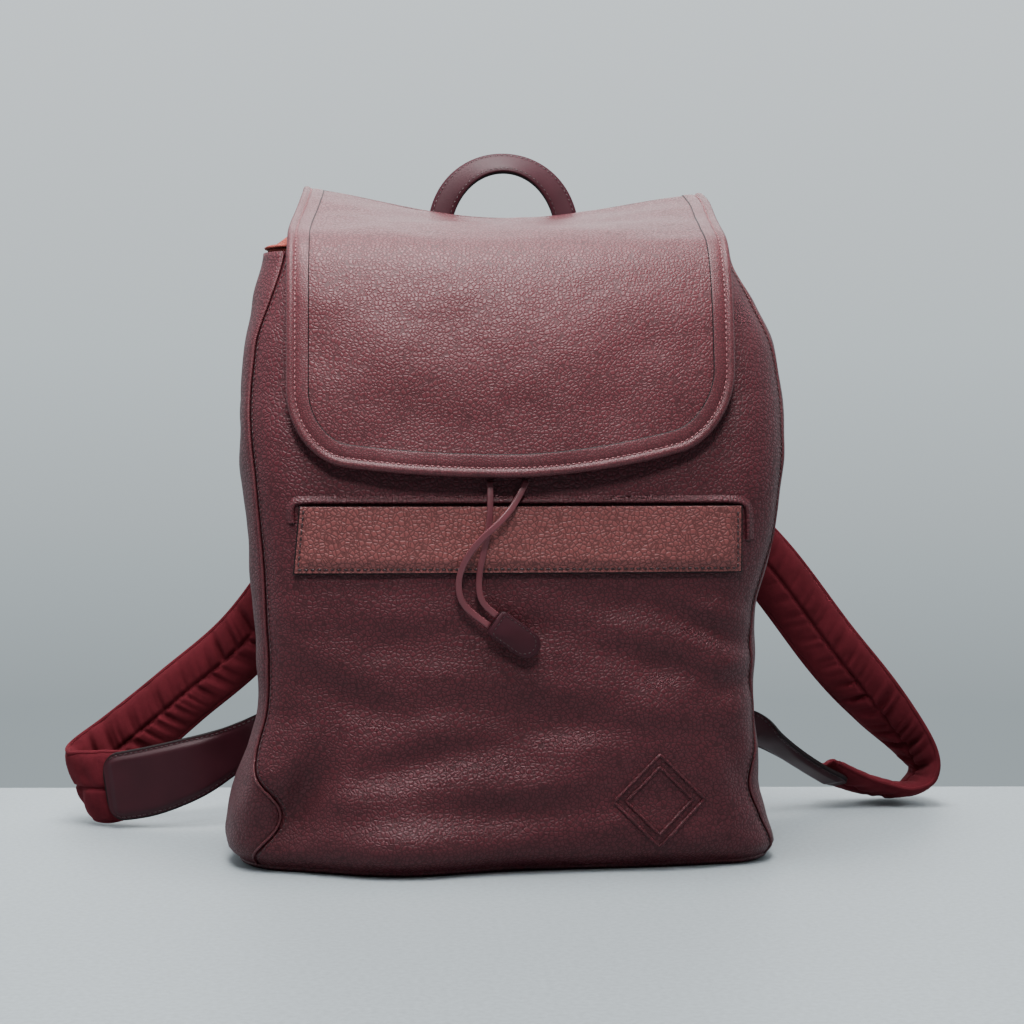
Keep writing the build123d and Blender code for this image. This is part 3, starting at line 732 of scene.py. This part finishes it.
def flap_low(x):
    """How far along the profile the flap's lower edge is, at x."""
    rise = 8.0 * (max(x, 0.0) / 92.0) ** 1.5
    x = abs(x)
    rise += 6.0 * (x / 95.0) ** 2.2
    beyond = min(max((x - (FLAP_HALF - CORNER)) / CORNER, 0.0), 1.0)
    rise += CORNER_TALL * (1.0 - math.sqrt(max(1.0 - beyond ** 2, 0.0)))
    return FLAP_LONG - rise


def bend_with_flap(piece):
    """Bakes the piece's placement into its mesh."""
    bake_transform(piece)


def flap_sheet(name, material, half, depth, end_inset, thick, stands_for):
    """A sheet of the flap, from its back fold to its round lower corners."""
    cols, rows = 90, 130
    points = []
    for r in range(rows):
        for c in range(cols):
            t = 2.0 * c / (cols - 1) - 1.0
            t = math.sin(t * math.pi / 2) * 0.35 + t * 0.65
            x = half * t
            s = (flap_low(x) - end_inset) * r / (rows - 1)
            points.append(flap_place(x, s) + flap_facing(x, s) * depth)
    piece = build(name, points, net(rows, cols, flip=True), [material, edge_paint], None,
                  stands_for)
    thicken(piece, thick, edge=1)
    bend_with_flap(piece)


flap_sheet("flap_leather", flap_calf_painted_lighter, FLAP_HALF - 0.6, 0.0, 0.6, 1.5,
           ["flap_top_panel", "flap_front_panel"])
flap_sheet("flap_lining", lining_cotton, FLAP_HALF - 3.0, -1.7, 3.0, 0.8,
           ["flap_top_lining", "flap_front_lining"])


def flap_outline():
    """The flap's edge in its own flat: (x, s) and the way inwards, left to right."""
    spots = []
    start_round = flap_low(FLAP_HALF)
    for i in range(100):
        spots.append((-FLAP_HALF, start_round * i / 100))
    for i in range(241):
        turn = -1.0 + 2.0 * i / 240
        x = FLAP_HALF * math.sin(turn * math.pi / 2)
        spots.append((x, flap_low(x)))
    for i in range(1, 101):
        spots.append((FLAP_HALF, start_round * (1.0 - i / 100)))
    line = []
    for i, spot in enumerate(spots):
        before, after = spots[max(i - 1, 0)], spots[min(i + 1, len(spots) - 1)]
        ahead = Vector((after[0] - before[0], after[1] - before[1])).normalized()
        line.append((Vector(spot), Vector((ahead.y, -ahead.x))))
    return line


FLAP_EDGE = flap_outline()


def edge_place(index, inwards, height):
    """A point on the border, a distance in from the flap's edge and above its face."""
    spot, into = FLAP_EDGE[index]
    place = spot + into * inwards
    s = max(place.y, 0.0)
    return flap_place(place.x, s) + flap_facing(place.x, s) * height


def flap_border():
    """The border band: rolled at the flap's edge, turned under, flat within, its cut edge dark."""
    shape = [
        (4.5, -2.9), (1.2, -3.1), (-0.3, -2.8), (-1.2, -1.9), (-1.5, -0.6), (-1.1, 0.5),
        (-0.1, 1.25), (1.1, 1.45), (2.2, 1.15), (3.0, 0.5), (3.6, 0.15), (4.3, 0.3), (5.3, 0.62),
        (7.4, 0.72), (9.6, 0.68), (10.8, 0.6), (11.2, 0.4), (11.5, -0.5),
    ]
    points = [edge_place(i, inwards, height) for i in range(len(FLAP_EDGE))
              for inwards, height in shape]
    piece = build("flap_border", points, net(len(FLAP_EDGE), len(shape), flip=True),
                  [band_calf, edge_paint], None,
                  ["flap_top_border", "flap_front_border"])
    for face in piece.data.polygons:
        if face.index % (len(shape) - 1) >= len(shape) - 3:
            face.material_index = 1
    bend_with_flap(piece)


flap_border()


def flap_stitches():
    """The pale stitching in the groove of the flap's border."""
    places = []
    for i in range(3, len(FLAP_EDGE) - 3):
        spot = edge_place(i, 3.6, 0.35)
        places.append((spot, (edge_place(i, 3.6, 3.0) - spot).normalized()))
    piece = stitch_line("flap_border_stitches", places, None, 3.1, 2.1, 0.8, pale_thread)
    bend_with_flap(piece)


flap_stitches()


def flap_back_strip():
    """The leather that runs up the back and over the fold into the flap."""
    rows = [(76.2, 352.0), (76.8, 362.0), (77.0, 372.0), (77.0, 380.0), (76.7, 385.0),
            (75.9, 388.6), (74.4, 390.7), (72.4, 391.5), (70.4, 391.3), (67.5, 390.3)]
    cols = 60
    points = []
    for y, z in rows:
        for c in range(cols):
            x = (FLAP_HALF + 0.6) * (2.0 * c / (cols - 1) - 1.0)
            dip = top_sag(x, 60.0) * smooth_step(352.0, 386.0, z)
            points.append((x, y, z - dip))
    piece = build("flap_back_strip", points, net(len(rows), cols, flip=True), [body_calf, edge_paint],
                  None)
    thicken(piece, 1.5, edge=1)
    apply_modifier(piece, "SUBSURF", levels=1, render_levels=1)
    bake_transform(piece)


flap_back_strip()


# ---------------------------------------------------------------- front pocket
STRIP_TOP, STRIP_LOW = 205.0, 167.5
STRIP_HALF = 124.0  # half its width at mid height


def strip_place(t, z, lift):
    """A point on the pocket's strip: t from -1 at its left end to 1."""
    drop = (STRIP_TOP - z) / (STRIP_TOP - STRIP_LOW)
    x = t * (123.0 + 2.0 * drop) - 1.6 * drop
    wave = 0.5 * noise.noise(Vector((x / 30.0, z / 30.0, 4.4)))
    inside = min((1.0 - abs(t)) * STRIP_HALF, z - STRIP_LOW)
    puff = 1.9 * smooth_step(2.4, 8.0, inside)
    return Vector((x, front_y(x, z, 1.0) - 1.9 - lift - wave - puff, z))


def pocket_strip():
    """The strip over the pocket's slot: padded, with painted edges and a row of stitches."""
    cut = 0.9
    levels = [STRIP_LOW, STRIP_LOW + cut]
    levels += [STRIP_LOW + cut + (STRIP_TOP - STRIP_LOW - cut) * i / 28 for i in range(1, 29)]
    shares = [-1.0] + [(1.0 - cut / STRIP_HALF) * (2.0 * i / 149 - 1.0) for i in range(150)] + [1.0]
    points = [strip_place(t, z, 0.0) for z in levels for t in shares]
    piece = build("pocket_strip", points, net(len(levels), len(shares)), [loose_calf_painted_lighter, edge_paint],
                  "pocket_flap", ["pocket_flap_strip", "pocket_flap_lining"])
    for face in piece.data.polygons:
        row, col = divmod(face.index, len(shares) - 1)
        if row == 0 or col in (0, len(shares) - 2):
            face.material_index = 1
    thicken(piece, 2.4, edge=1, bevel_mm=0.5)
    inset, start = 2.8, STRIP_TOP - 1.5
    places = []
    for i in range(12):
        places.append((-1.0 + inset / STRIP_HALF, start - (start - STRIP_LOW - inset) * i / 11))
    for i in range(1, 100):
        places.append(((-1.0 + 2.0 * i / 100) * (1.0 - inset / STRIP_HALF), STRIP_LOW + inset))
    for i in range(12):
        places.append((1.0 - inset / STRIP_HALF,
                       STRIP_LOW + inset + (start - STRIP_LOW - inset) * i / 11))
    line = [(strip_place(t, z, 0.2), Vector((0.0, -1.0, 0.0))) for t, z in places]
    stitch_line("pocket_strip_stitches", line, "pocket_flap", 3.6, 2.5, 0.95)


pocket_strip()


def pocket_lip():
    """The cut edge of the body leather that the strip tucks under, turned down at its ends."""
    route = [(-126.5, 196.0), (-127.0, 201.0), (-126.6, 205.4), (-124.6, 207.2), (-120.0, 207.6)]
    route += [(-110.0 + 220.0 * i / 40, 207.6) for i in range(41)]
    route += [(118.0, 207.4), (123.0, 206.8), (125.6, 204.6), (126.6, 200.0), (126.9, 193.0),
              (127.0, 186.0)]
    shape = [(-1.7, -0.4), (-1.4, 1.2), (-0.6, 2.3), (0.4, 2.4), (1.3, 1.5), (2.6, 0.5), (3.8, -0.4)]
    points = []
    for i, (x, z) in enumerate(route):
        before, after = route[max(i - 1, 0)], route[min(i + 1, len(route) - 1)]
        ahead = Vector((after[0] - before[0], after[1] - before[1])).normalized()
        out = Vector((-ahead.y, ahead.x))
        for across, lift in shape:
            px, pz = x + out.x * across, z + out.y * across
            points.append(Vector((px, front_y(px, pz, 0.0) - lift * 0.9, pz)))
    build("pocket_lip", points, net(len(route), len(shape), flip=True), [body_calf], "bag",
          ["pocket_welt"])


pocket_lip()


def pocket_pouch():
    """The cloth pouch behind the pocket's slot."""
    cols, rows = 24, 16
    near, far = [], []
    for r in range(rows):
        z = 92.0 + 112.0 * r / (rows - 1)
        for c in range(cols):
            x = -108.0 + 216.0 * c / (cols - 1)
            edge = min(r, rows - 1 - r, c, cols - 1 - c)
            near.append((x, front_y(x, z) + 5.2, z))
            far.append((x, front_y(x, z) + (5.6 if edge == 0 else 13.0 + min(edge, 2)), z))
    faces = net(rows, cols)
    offset = len(near)
    faces += [tuple(i + offset for i in face[::-1]) for face in net(rows, cols)]
    piece = build("pocket_pouch", near + far, faces, [lining_cotton], "bag",
                  ["pocket_bag"])
    apply_modifier(piece, "SOLIDIFY", thickness=0.5 * MM, offset=0.0)


pocket_pouch()

# ---------------------------------------------------------------- drawstring cords
CORD_WIDE = 3.6
CORD_RISE = 1.5  # scales the height of a cord's section, which comes out 1.8 thick
EXIT_Y = -69.4  # where the cords leave the bag's eyelets
UPPER_A = [(-15.0, EXIT_Y, 325.0), (-15.0, EXIT_Y - 4.6, 323.4), (-15.5, -76.6, 313.0),
           (-16.6, -78.4, 293.0), (-17.4, -81.0, 268.0), (-18.0, -82.9, 241.0), (-18.0, -84.6, 221.3)]
UPPER_B = [(-1.0, EXIT_Y, 325.0), (-1.0, EXIT_Y - 4.6, 323.4), (-1.3, -76.6, 312.0),
           (0.2, -78.5, 291.0), (1.2, -81.2, 267.0), (1.6, -82.9, 240.0), (2.0, -84.6, 221.3)]
LOWER_A = [(-18.0, -84.6, 219.0), (-18.0, -87.6, 206.5), (-18.6, -87.8, 193.5), (-21.6, -87.8, 181.0),
           (-24.2, -87.8, 168.5), (-24.4, -88.0, 157.0), (-21.0, -88.2, 149.7), (-14.4, -88.2, 144.9)]
LOWER_B = [(2.0, -84.6, 219.0), (-3.5, -88.6, 207.4), (-13.0, -93.4, 196.4), (-24.0, -93.6, 187.0),
           (-32.0, -91.0, 176.0), (-36.0, -88.4, 164.5), (-34.6, -88.0, 153.0), (-28.0, -88.2, 145.9),
           (-18.6, -88.2, 139.3)]


def route_line(name, route):
    """The smooth line of a cord's route, as points in mm."""
    line = bpy.data.curves.new(name, "CURVE")
    line.dimensions = "3D"
    line.resolution_u = 12
    run = line.splines.new("NURBS")
    run.points.add(len(route) - 1)
    for spot, p in zip(run.points, route):
        spot.co = (p[0] * MM, p[1] * MM, p[2] * MM, 1.0)
    run.order_u = 3
    run.use_endpoint_u = True
    holder = bpy.data.objects.new(name, line)
    bpy.context.collection.objects.link(holder)
    mesh = bpy.data.meshes.new_from_object(holder)
    spots = [v.co / MM for v in mesh.vertices]
    bpy.data.objects.remove(holder)
    return spots


def flat_cord(name, node, route, body):
    """A flat stitched leather cord: two thin strips sewn back to back, slightly domed."""
    line = route_line(name + "_line", route)
    section = [(-1.0, 0.0), (-0.92, 0.5), (-0.6, 0.62), (0.0, 0.52), (0.6, 0.62), (0.92, 0.5),
               (1.0, 0.0), (0.92, -0.5), (0.0, -0.6), (-0.92, -0.5)]
    points = []
    for i, p in enumerate(line):
        ahead = (line[min(i + 1, len(line) - 1)] - line[max(i - 1, 0)]).normalized()
        roll = 0.5 * math.sin(i * 0.07)
        out = Vector((math.sin(roll) * 0.6, -1.0, 0.12))
        side = ahead.cross(out).normalized()
        out = side.cross(ahead).normalized()
        for across, up in section:
            points.append(p + side * across * CORD_WIDE / 2 + out * up * CORD_RISE)
    piece = build(name, points, capped_net(len(line), len(section)), [cord_calf], body,
                  [node])


def end_tab():
    """The tab on the cords' ends: two leathers sewn together, round at the free end."""
    turn = math.radians(-35.5)
    ahead = Vector((math.cos(turn), 0.0, math.sin(turn)))
    side = Vector((-math.sin(turn), 0.0, math.cos(turn)))
    start = Vector((-16.5, -88.2, 142.1))
    outline = [(0.6, -6.4), (2.4, -7.9), (5.0, -8.0), (12.0, -8.0), (20.0, -8.0)]
    outline += [(22.0 + 8.4 * math.sin(math.radians(a)), -8.0 * math.cos(math.radians(a)))
                for a in range(8, 173, 15)]
    outline += [(20.0, 8.0), (12.0, 8.0), (5.0, 8.0), (2.4, 7.9), (0.6, 6.4)]
    points = []
    middle = Vector((15.0, 0.0))
    layers = [(0.02, 2.1), (0.72, 2.15), (0.84, 1.75), (0.96, 2.05), (1.0, 1.4), (1.0, -1.4),
              (0.96, -1.9), (0.02, -1.9)]
    for share, high in layers:
        for u, v in outline:
            flat = middle + (Vector((u, v)) - middle) * share
            points.append(start + ahead * flat.x + side * flat.y + Vector((0, -high, 0)))
    count = len(outline)
    piece = build("cord_tab", points, capped_net(len(layers), count, flip=True),
                  [dark_calf, edge_paint], "drawstring", ["drawstring_tab"])
    for face in piece.data.polygons:
        if face.index // count == 4:
            face.material_index = 1
    seam = []
    for u, v in outline + outline[:1]:
        flat = middle + (Vector((u, v)) - middle) * 0.8
        seam.append((start + ahead * flat.x + side * flat.y + Vector((0, -1.95, 0)),
                     Vector((0, -1, 0))))
    stitch_line("cord_tab_stitches", seam, "drawstring", 2.6, 1.8, 0.5)
    return piece


tab_piece = end_tab()
flat_cord("cord_upper_a", "drawstring_upper_a", UPPER_A, "bag")
flat_cord("cord_upper_b", "drawstring_upper_b", UPPER_B, "bag")
flat_cord("cord_a", "drawstring_cord_a", LOWER_A, "drawstring")
flat_cord("cord_b", "drawstring_cord_b", LOWER_B, "drawstring")

# ---------------------------------------------------------------- shoulder straps
# centre (x, y, z), the way the face looks, width: the same stations as the solid straps
LEFT_BAND = [
    ((-60.0, 82.6, 332.0), (0, 1, 0), 43.0), ((-66.0, 82.8, 291.0), (0, 1, 0), 43.0),
    ((-89.0, 84.0, 234.0), (0, 1, 0), 42.0), ((-122.0, 86.0, 171.0), (0, 1, 0), 41.0),
    ((-160.0, 90.0, 117.0), (0, 1, 0), 41.0), ((-204.0, 94.0, 78.5), (0, 1, 0), 41.0),
    ((-239.0, 97.0, 49.0), (-0.1, 1, -0.05), 43.0), ((-259.0, 95.0, 33.5), (-0.5, 0.87, -0.15), 45.0),
    ((-265.0, 86.0, 26.5), (-1, 0.1, -0.33), 46.0), ((-258.0, 76.5, 25.0), (-0.6, -0.8, -0.2), 46.0),
    ((-246.0, 72.5, 25.2), (-0.15, -1, -0.05), 46.0), ((-229.0, 71.5, 28.0), (0, -1, 0), 40.0),
]
RIGHT_BAND = [
    ((60.0, 82.6, 332.0), (0, 1, 0), 43.0), ((69.0, 82.8, 291.0), (0, 1, 0), 43.0),
    ((94.0, 85.0, 242.0), (0, 1, 0), 42.0), ((132.0, 89.0, 199.5), (0, 1, 0), 41.0),
    ((173.0, 95.0, 158.5), (0, 1, 0), 40.0), ((215.0, 102.0, 105.0), (0.1, 1, 0.1), 40.0),
    ((250.0, 110.0, 65.5), (0.4, 0.75, 0.35), 41.0), ((274.0, 116.0, 37.5), (0.75, 0.5, 0.4), 42.0),
    ((281.0, 118.0, 20.0), (0.95, 0.15, -0.25), 42.0),
    ((268.0, 118.0, 9.0), (0.3, -0.15, -0.95), 41.0),
    ((246.0, 116.0, 12.0), (-0.15, -0.3, -0.94), 38.0),
    ((226.0, 113.0, 19.0), (-0.3, -0.42, -0.85), 36.0),
    ((211.0, 110.0, 27.0), (-0.4, -0.5, -0.77), 33.0),
]
LEFT_TAIL = [
    ((-248.0, 65.6, 25.0), (0, -1, 0), 42.0), ((-222.0, 65.0, 29.0), (0, -1, 0), 43.0),
    ((-196.0, 67.0, 36.5), (0.1, -1, 0), 39.0), ((-176.0, 73.0, 44.5), (0.35, -0.94, 0), 32.0),
    ((-162.0, 80.5, 51.5), (0.2, -0.98, 0), 26.0), ((-150.0, 81.6, 57.0), (0, -1, 0), 25.0),
    ((-108.0, 81.6, 76.5), (0, -1, 0), 25.0),
]
RIGHT_TAIL = [
    ((224.0, 109.0, 15.0), (-0.3, -0.36, -0.88), 29.0),
    ((207.0, 105.6, 24.5), (-0.4, -0.34, -0.86), 27.0),
    ((188.0, 99.0, 36.5), (-0.42, -0.42, -0.8), 25.0),
    ((171.0, 90.0, 47.5), (-0.34, -0.64, -0.68), 25.0),
    ((160.0, 82.8, 54.2), (-0.1, -0.98, -0.1), 25.0), ((150.0, 81.6, 58.6), (0, -1, 0), 25.0),
    ((108.0, 81.6, 76.5), (0, -1, 0), 25.0),
]


def strap_frames(rows, count):
    """Evenly spaced places on a strap: centre, ahead, face, across, width, distance walked."""
    flat = [tuple(c) + tuple(f) + (w,) for c, f, w in rows]
    steps = 600
    fine = [along_curve(flat, i / steps) for i in range(steps + 1)]
    walked = [0.0]
    for a, b in zip(fine, fine[1:]):
        walked.append(walked[-1] + (Vector(b[:3]) - Vector(a[:3])).length)
    frames, j = [], 0
    for i in range(count):
        due = walked[-1] * i / (count - 1)
        while j < steps - 1 and walked[j + 1] < due:
            j += 1
        share = (due - walked[j]) / (walked[j + 1] - walked[j])
        row = [a + (b - a) * share for a, b in zip(fine[j], fine[j + 1])]
        centre = Vector(row[:3])
        ahead = (Vector(fine[min(j + 4, steps)][:3]) - Vector(fine[max(j - 3, 0)][:3])).normalized()
        across = ahead.cross(Vector(row[3:6])).normalized()
        face = across.cross(ahead).normalized()
        frames.append((centre, ahead, face, across, row[6], due))
    return frames


def soft_band(name, rows, body, node, seed, bunched):
    """A padded cloth strap: two lobes pulled in at a centre seam, puckered across."""
    frames = strap_frames(rows, 420)
    half_shares = [1.0, 0.985, 0.95, 0.88, 0.78, 0.66, 0.53, 0.4, 0.28, 0.17, 0.09, 0.04]
    top = half_shares + [0.0] + [-u for u in half_shares[::-1]]
    ring = [(u, 1.0) for u in top] + [(u, -1.0) for u in top[1:-1][::-1]]
    total = frames[-1][5]
    points = []
    for i, (centre, _, face, across, wide, walked) in enumerate(frames):
        end = min(1.0, 0.4 + min(i, len(frames) - 1 - i) * 0.08)
        bunch = sum(more * math.exp(-((walked / total - place) / reach) ** 2)
                    for place, reach, more in bunched)
        for u, side in ring:
            seam = math.exp(-(u / 0.05) ** 2)
            lobe = 1.0 if u > 0 else 2.0
            slant = walked + abs(u) * 8.0
            fold = noise.noise(Vector((slant / 6.5, lobe + seed, side * 4.0)))
            fold += 0.5 * noise.noise(Vector((slant / 3.2, lobe + seed, side * 7.0)))
            fold = min(fold, 0.12) * 1.6
            near_seam = math.exp(-((abs(u) - 0.22) / 0.4) ** 2)
            pucker = 2.6 * fold * (0.3 + bunch) * (0.25 + near_seam) * (1.0 - seam) * (1.0 - u ** 8)
            thick = 5.2 * end * (1.0 - 0.5 * seam) * math.sqrt(max(1.0 - abs(u) ** 3.2, 0.0))
            thick = max(thick + pucker, 0.9 if abs(u) < 0.99 else 0.0)
            half = wide / 2 - 1.0 + 0.7 * noise.noise(Vector((walked / 9.0, seed, lobe)))
            points.append(centre + across * u * half + face * side * thick)
    piece = build(name, points, capped_net(len(frames), len(ring), flip=True), [strap_cotton],
                  body, [node])
    for edge in (-1, 1):
        line = [centre + across * edge * (wide / 2 - 1.2)
                for centre, _, _, across, wide, _ in frames[2:-2:2]]
        tube(f"{name}_edge_roll_{'ab'[edge > 0]}", line, 1.6, strap_cotton, body)


soft_band("strap_left_cloth", LEFT_BAND, "strap_left", "strap_left_band", 3.0,
          [(0.55, 0.22, 1.0), (0.84, 0.05, 1.1)])
soft_band("strap_right_cloth", RIGHT_BAND, "strap_right", "strap_right_band", 9.0,
          [(0.76, 0.1, 1.7)])


def leather_tail(name, rows, body, node, padded_long):
    """A strap's leather tail: round ended, plumped within its stitching, edges painted."""
    frames = strap_frames(rows, 200)
    half_shares = [1.0, 0.95, 0.9, 0.85, 0.8, 0.74, 0.66, 0.5, 0.25]
    shares = [-u for u in half_shares] + [0.0] + half_shares[::-1]
    points, rims = [], []
    for centre, _, face, across, wide, walked in frames:
        round_end = math.sqrt(max(0.0, 1.0 - max(0.0, 1.0 - walked / 11.0) ** 2.4))
        half = wide / 2 * (0.4 + 0.6 * round_end)
        plump = 1.7 * (1.0 - smooth_step(padded_long * 0.6, padded_long, walked)) + 0.35
        plump *= smooth_step(2.2, 7.0, walked)
        for u in shares:
            raised = plump * smooth_step(2.0, 5.0, half * (1.0 - abs(u)))
            points.append(centre + across * u * half + face * (1.0 + raised))
        rims.append(half)
    piece = build(name, points, net(len(frames), len(shares)), [dark_calf, edge_paint], body,
                  [node])
    for polygon in piece.data.polygons:
        row, col = divmod(polygon.index, len(shares) - 1)
        if col in (0, len(shares) - 2) or row == 0:
            polygon.material_index = 1
    thicken(piece, 2.6, edge=1)
    for edge in (-1, 1):
        line = []
        for (centre, _, face, across, _, _), half in zip(frames[6:-2], rims[6:-2]):
            line.append((centre + across * edge * (half - 2.0) + face * 1.1, face))
        stitch_line(f"{name}_stitches_{'ab'[edge > 0]}", line, body, 3.2, 2.3, 0.7, thread)


leather_tail("strap_left_leather", LEFT_TAIL, "strap_left", "strap_left_tail", 92.0)
leather_tail("strap_right_leather", RIGHT_TAIL, "strap_right", "strap_right_tail", 60.0)


# ---------------------------------------------------------------- top handle
def handle_leather():
    """The grab handle: a doubled strap, sewn flat at its feet and rolled over at its top."""
    low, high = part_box("top_handle")
    middle_y = (low.y + high.y) / 2 / MM
    foot = low.z / MM
    half, tall = 40.5, high.z / MM - foot - 8.0
    half_wide, half_thick = 7.6, 1.8
    frames, count = [], 90
    for i in range(count):
        a = math.pi * i / (count - 1)
        centre = Vector((-half * math.cos(a), middle_y, foot + tall * math.sin(a) ** 0.9))
        frames.append(centre)
    shape = [(-1.0, -0.6), (-0.94, -1.0), (-0.5, -1.15), (0.0, -1.2), (0.5, -1.15), (0.94, -1.0),
             (1.0, -0.6), (1.0, 0.6), (0.94, 1.0), (0.0, 1.1), (-0.94, 1.0), (-1.0, 0.6)]
    points = []
    line_a, line_b = [], []
    for i, centre in enumerate(frames):
        ahead = (frames[min(i + 1, count - 1)] - frames[max(i - 1, 0)]).normalized()
        lean = math.radians(38.0) * math.sin(math.pi * i / (count - 1)) ** 2
        face = Vector((0.0, -1.0, 0.0))
        radial = face.cross(ahead).normalized()
        across = radial * math.cos(lean) + Vector((0, 1, 0)) * math.sin(lean)
        front = ahead.cross(across).normalized()
        for u, v in shape:
            points.append(centre + across * u * half_wide - front * v * half_thick)
        for target, u in ((line_a, -0.72), (line_b, 0.72)):
            target.append((centre + across * u * half_wide + front * 1.95, front))
    piece = build("handle_strap", points, capped_net(count, len(shape), flip=True),
                  [dark_calf, edge_paint], "handle", ["top_handle"])
    for face in piece.data.polygons:
        if face.index % len(shape) in (6, 11) and face.index < (count - 1) * len(shape):
            face.material_index = 1
    for name, line in (("a", line_a), ("b", line_b)):
        stitch_line("handle_stitches_" + name, line, "handle", 3.2, 2.2, 0.55)


handle_leather()


# ---------------------------------------------------------------- pressed mark, hardware
def pressed_mark():
    """Two plain diamonds, one in the other, as low ridges near the lower right corner."""
    centre = (77.0, 40.0)
    for index, half in enumerate((26.0, 19.0)):
        line = []
        corners = [(half, 0.0), (0.0, half), (-half, 0.0), (0.0, -half), (half, 0.0)]
        for (ax, az), (bx, bz) in zip(corners, corners[1:]):
            for i in range(12):
                x = centre[0] + ax + (bx - ax) * i / 12
                z = centre[1] + az + (bz - az) * i / 12
                line.append((x, front_y(x, z, 0.15), z))
        tube(f"pressed_diamond_{index + 1}", line, 1.0, body_calf, "bag",
             closed=True)


pressed_mark()


def dress(node, material):
    """Gives a solid that stays as it is its real finish."""
    solid = bpy.data.objects[node]
    solid.data.materials.clear()
    solid.data.materials.append(material)


for node in ("rim_eyelets", "flap_catches", "pocket_catches", "flap_magnets", "pocket_flap_magnets",
             "slider_left", "slider_right"):
    dress(node, steel)
for node in ("handle_patch", "handle_tabs", "strap_yoke", "strap_anchor_left", "strap_anchor_right"):
    dress(node, dark_calf)


def base_stiffener():
    """The stiffener board on the base, a little smaller than the leather round it."""
    layers = ((2.6, -7.5), (2.9, -7.0), (4.1, -7.0), (4.4, -7.5))
    points = [Vector((p.x, p.y, z)) for z, lift in layers for p in around(z, lift, 120)]
    build("base_stiffener", points, capped_net(len(layers), 120), [board], "bag",
          ["base_board"])


base_stiffener()


# ---------------------------------------------------------------- floor, light, camera
def studio():
    """A matt table in a pale room, three soft lights and the camera in front."""
    floor_finish = plain_finish("matt table", colour("9ca4a8"), 0.5, 0.0, 3.0, 0.05)
    bpy.ops.mesh.primitive_plane_add(size=1.0, location=(0, 0, 0))
    floor = bpy.context.object
    floor.name = "table"
    for vertex in floor.data.vertices:
        vertex.co.x *= 4.0
        vertex.co.y = 0.196 - 0.062 * vertex.co.x if vertex.co.y > 0 else -3.0
    floor.data.materials.append(floor_finish)

    world = bpy.data.worlds.new("pale room")
    bpy.context.scene.world = world
    world.use_nodes = True
    tree = world.node_tree
    way = add_node(tree, "ShaderNodeTexCoord").outputs["Generated"]
    split = add_node(tree, "ShaderNodeSeparateXYZ", links={"Vector": way})
    rise = add_node(tree, "ShaderNodeMapRange", {"From Min": -0.13, "From Max": 0.21},
                    {"Value": split.outputs["Z"]})
    wall = add_node(tree, "ShaderNodeValToRGB", {}, {"Fac": rise.outputs["Result"]},
                    [(0.0, colour("8d979b")), (0.5, colour("bac4c8")), (1.0, colour("d0d8dc"))])
    behind = add_node(tree, "ShaderNodeMapRange", {"From Min": -0.8, "From Max": 0.3},
                      {"Value": split.outputs["Y"]}, interpolation_type="SMOOTHSTEP")
    room = add_node(tree, "ShaderNodeMix", {6: colour("404346")},
                    {"Factor": behind.outputs["Result"], 7: wall.outputs["Color"]}, data_type="RGBA")
    sky = tree.nodes["Background"]
    tree.links.new(room.outputs[2], sky.inputs["Color"])
    across = add_node(tree, "ShaderNodeMath", {}, {0: split.outputs["X"]}, operation="ABSOLUTE")
    strength = add_node(tree, "ShaderNodeMapRange", {"From Min": 0.5, "From Max": 0.9,
                                                     "To Min": 1.35, "To Max": 2.4},
                        {"Value": across.outputs[0]}, interpolation_type="SMOOTHSTEP")
    tree.links.new(strength.outputs["Result"], sky.inputs["Strength"])

    # name, place, aim, size, watts, spread in degrees
    for name, place, aim, size, power, spread in (
        ("overhead", (-0.1, -0.26, 1.5), (0, 0, 0.2), 0.8, 47.0, 180.0),
        ("gridded softbox", (-0.05, -0.9, 1.1), (-0.05, -0.1, 0.46), 0.3, 1.15, 40.0),
        ("high back light", (0.1, 1.2, 1.4), (0, 0, 0.3), 1.3, 15.0, 180.0),
    ):
        lamp = bpy.data.lights.new(name, "AREA")
        lamp.energy = power
        lamp.size = size
        lamp.spread = math.radians(spread)
        holder = bpy.data.objects.new(name, lamp)
        bpy.context.collection.objects.link(holder)
        holder.location = place
        holder.rotation_euler = (Vector(aim) - Vector(place)).to_track_quat("-Z", "Y").to_euler()

    camera = bpy.data.cameras.new("camera")
    camera.sensor_width = 36.0
    camera.lens = 72.1
    holder = bpy.data.objects.new("camera", camera)
    bpy.context.collection.objects.link(holder)
    holder.location = (-0.08475, -1.21204, 0.247)
    holder.rotation_euler = (math.radians(90.0 - 2.289), 0.0, math.radians(-4.0))
    bpy.context.scene.camera = holder


studio()
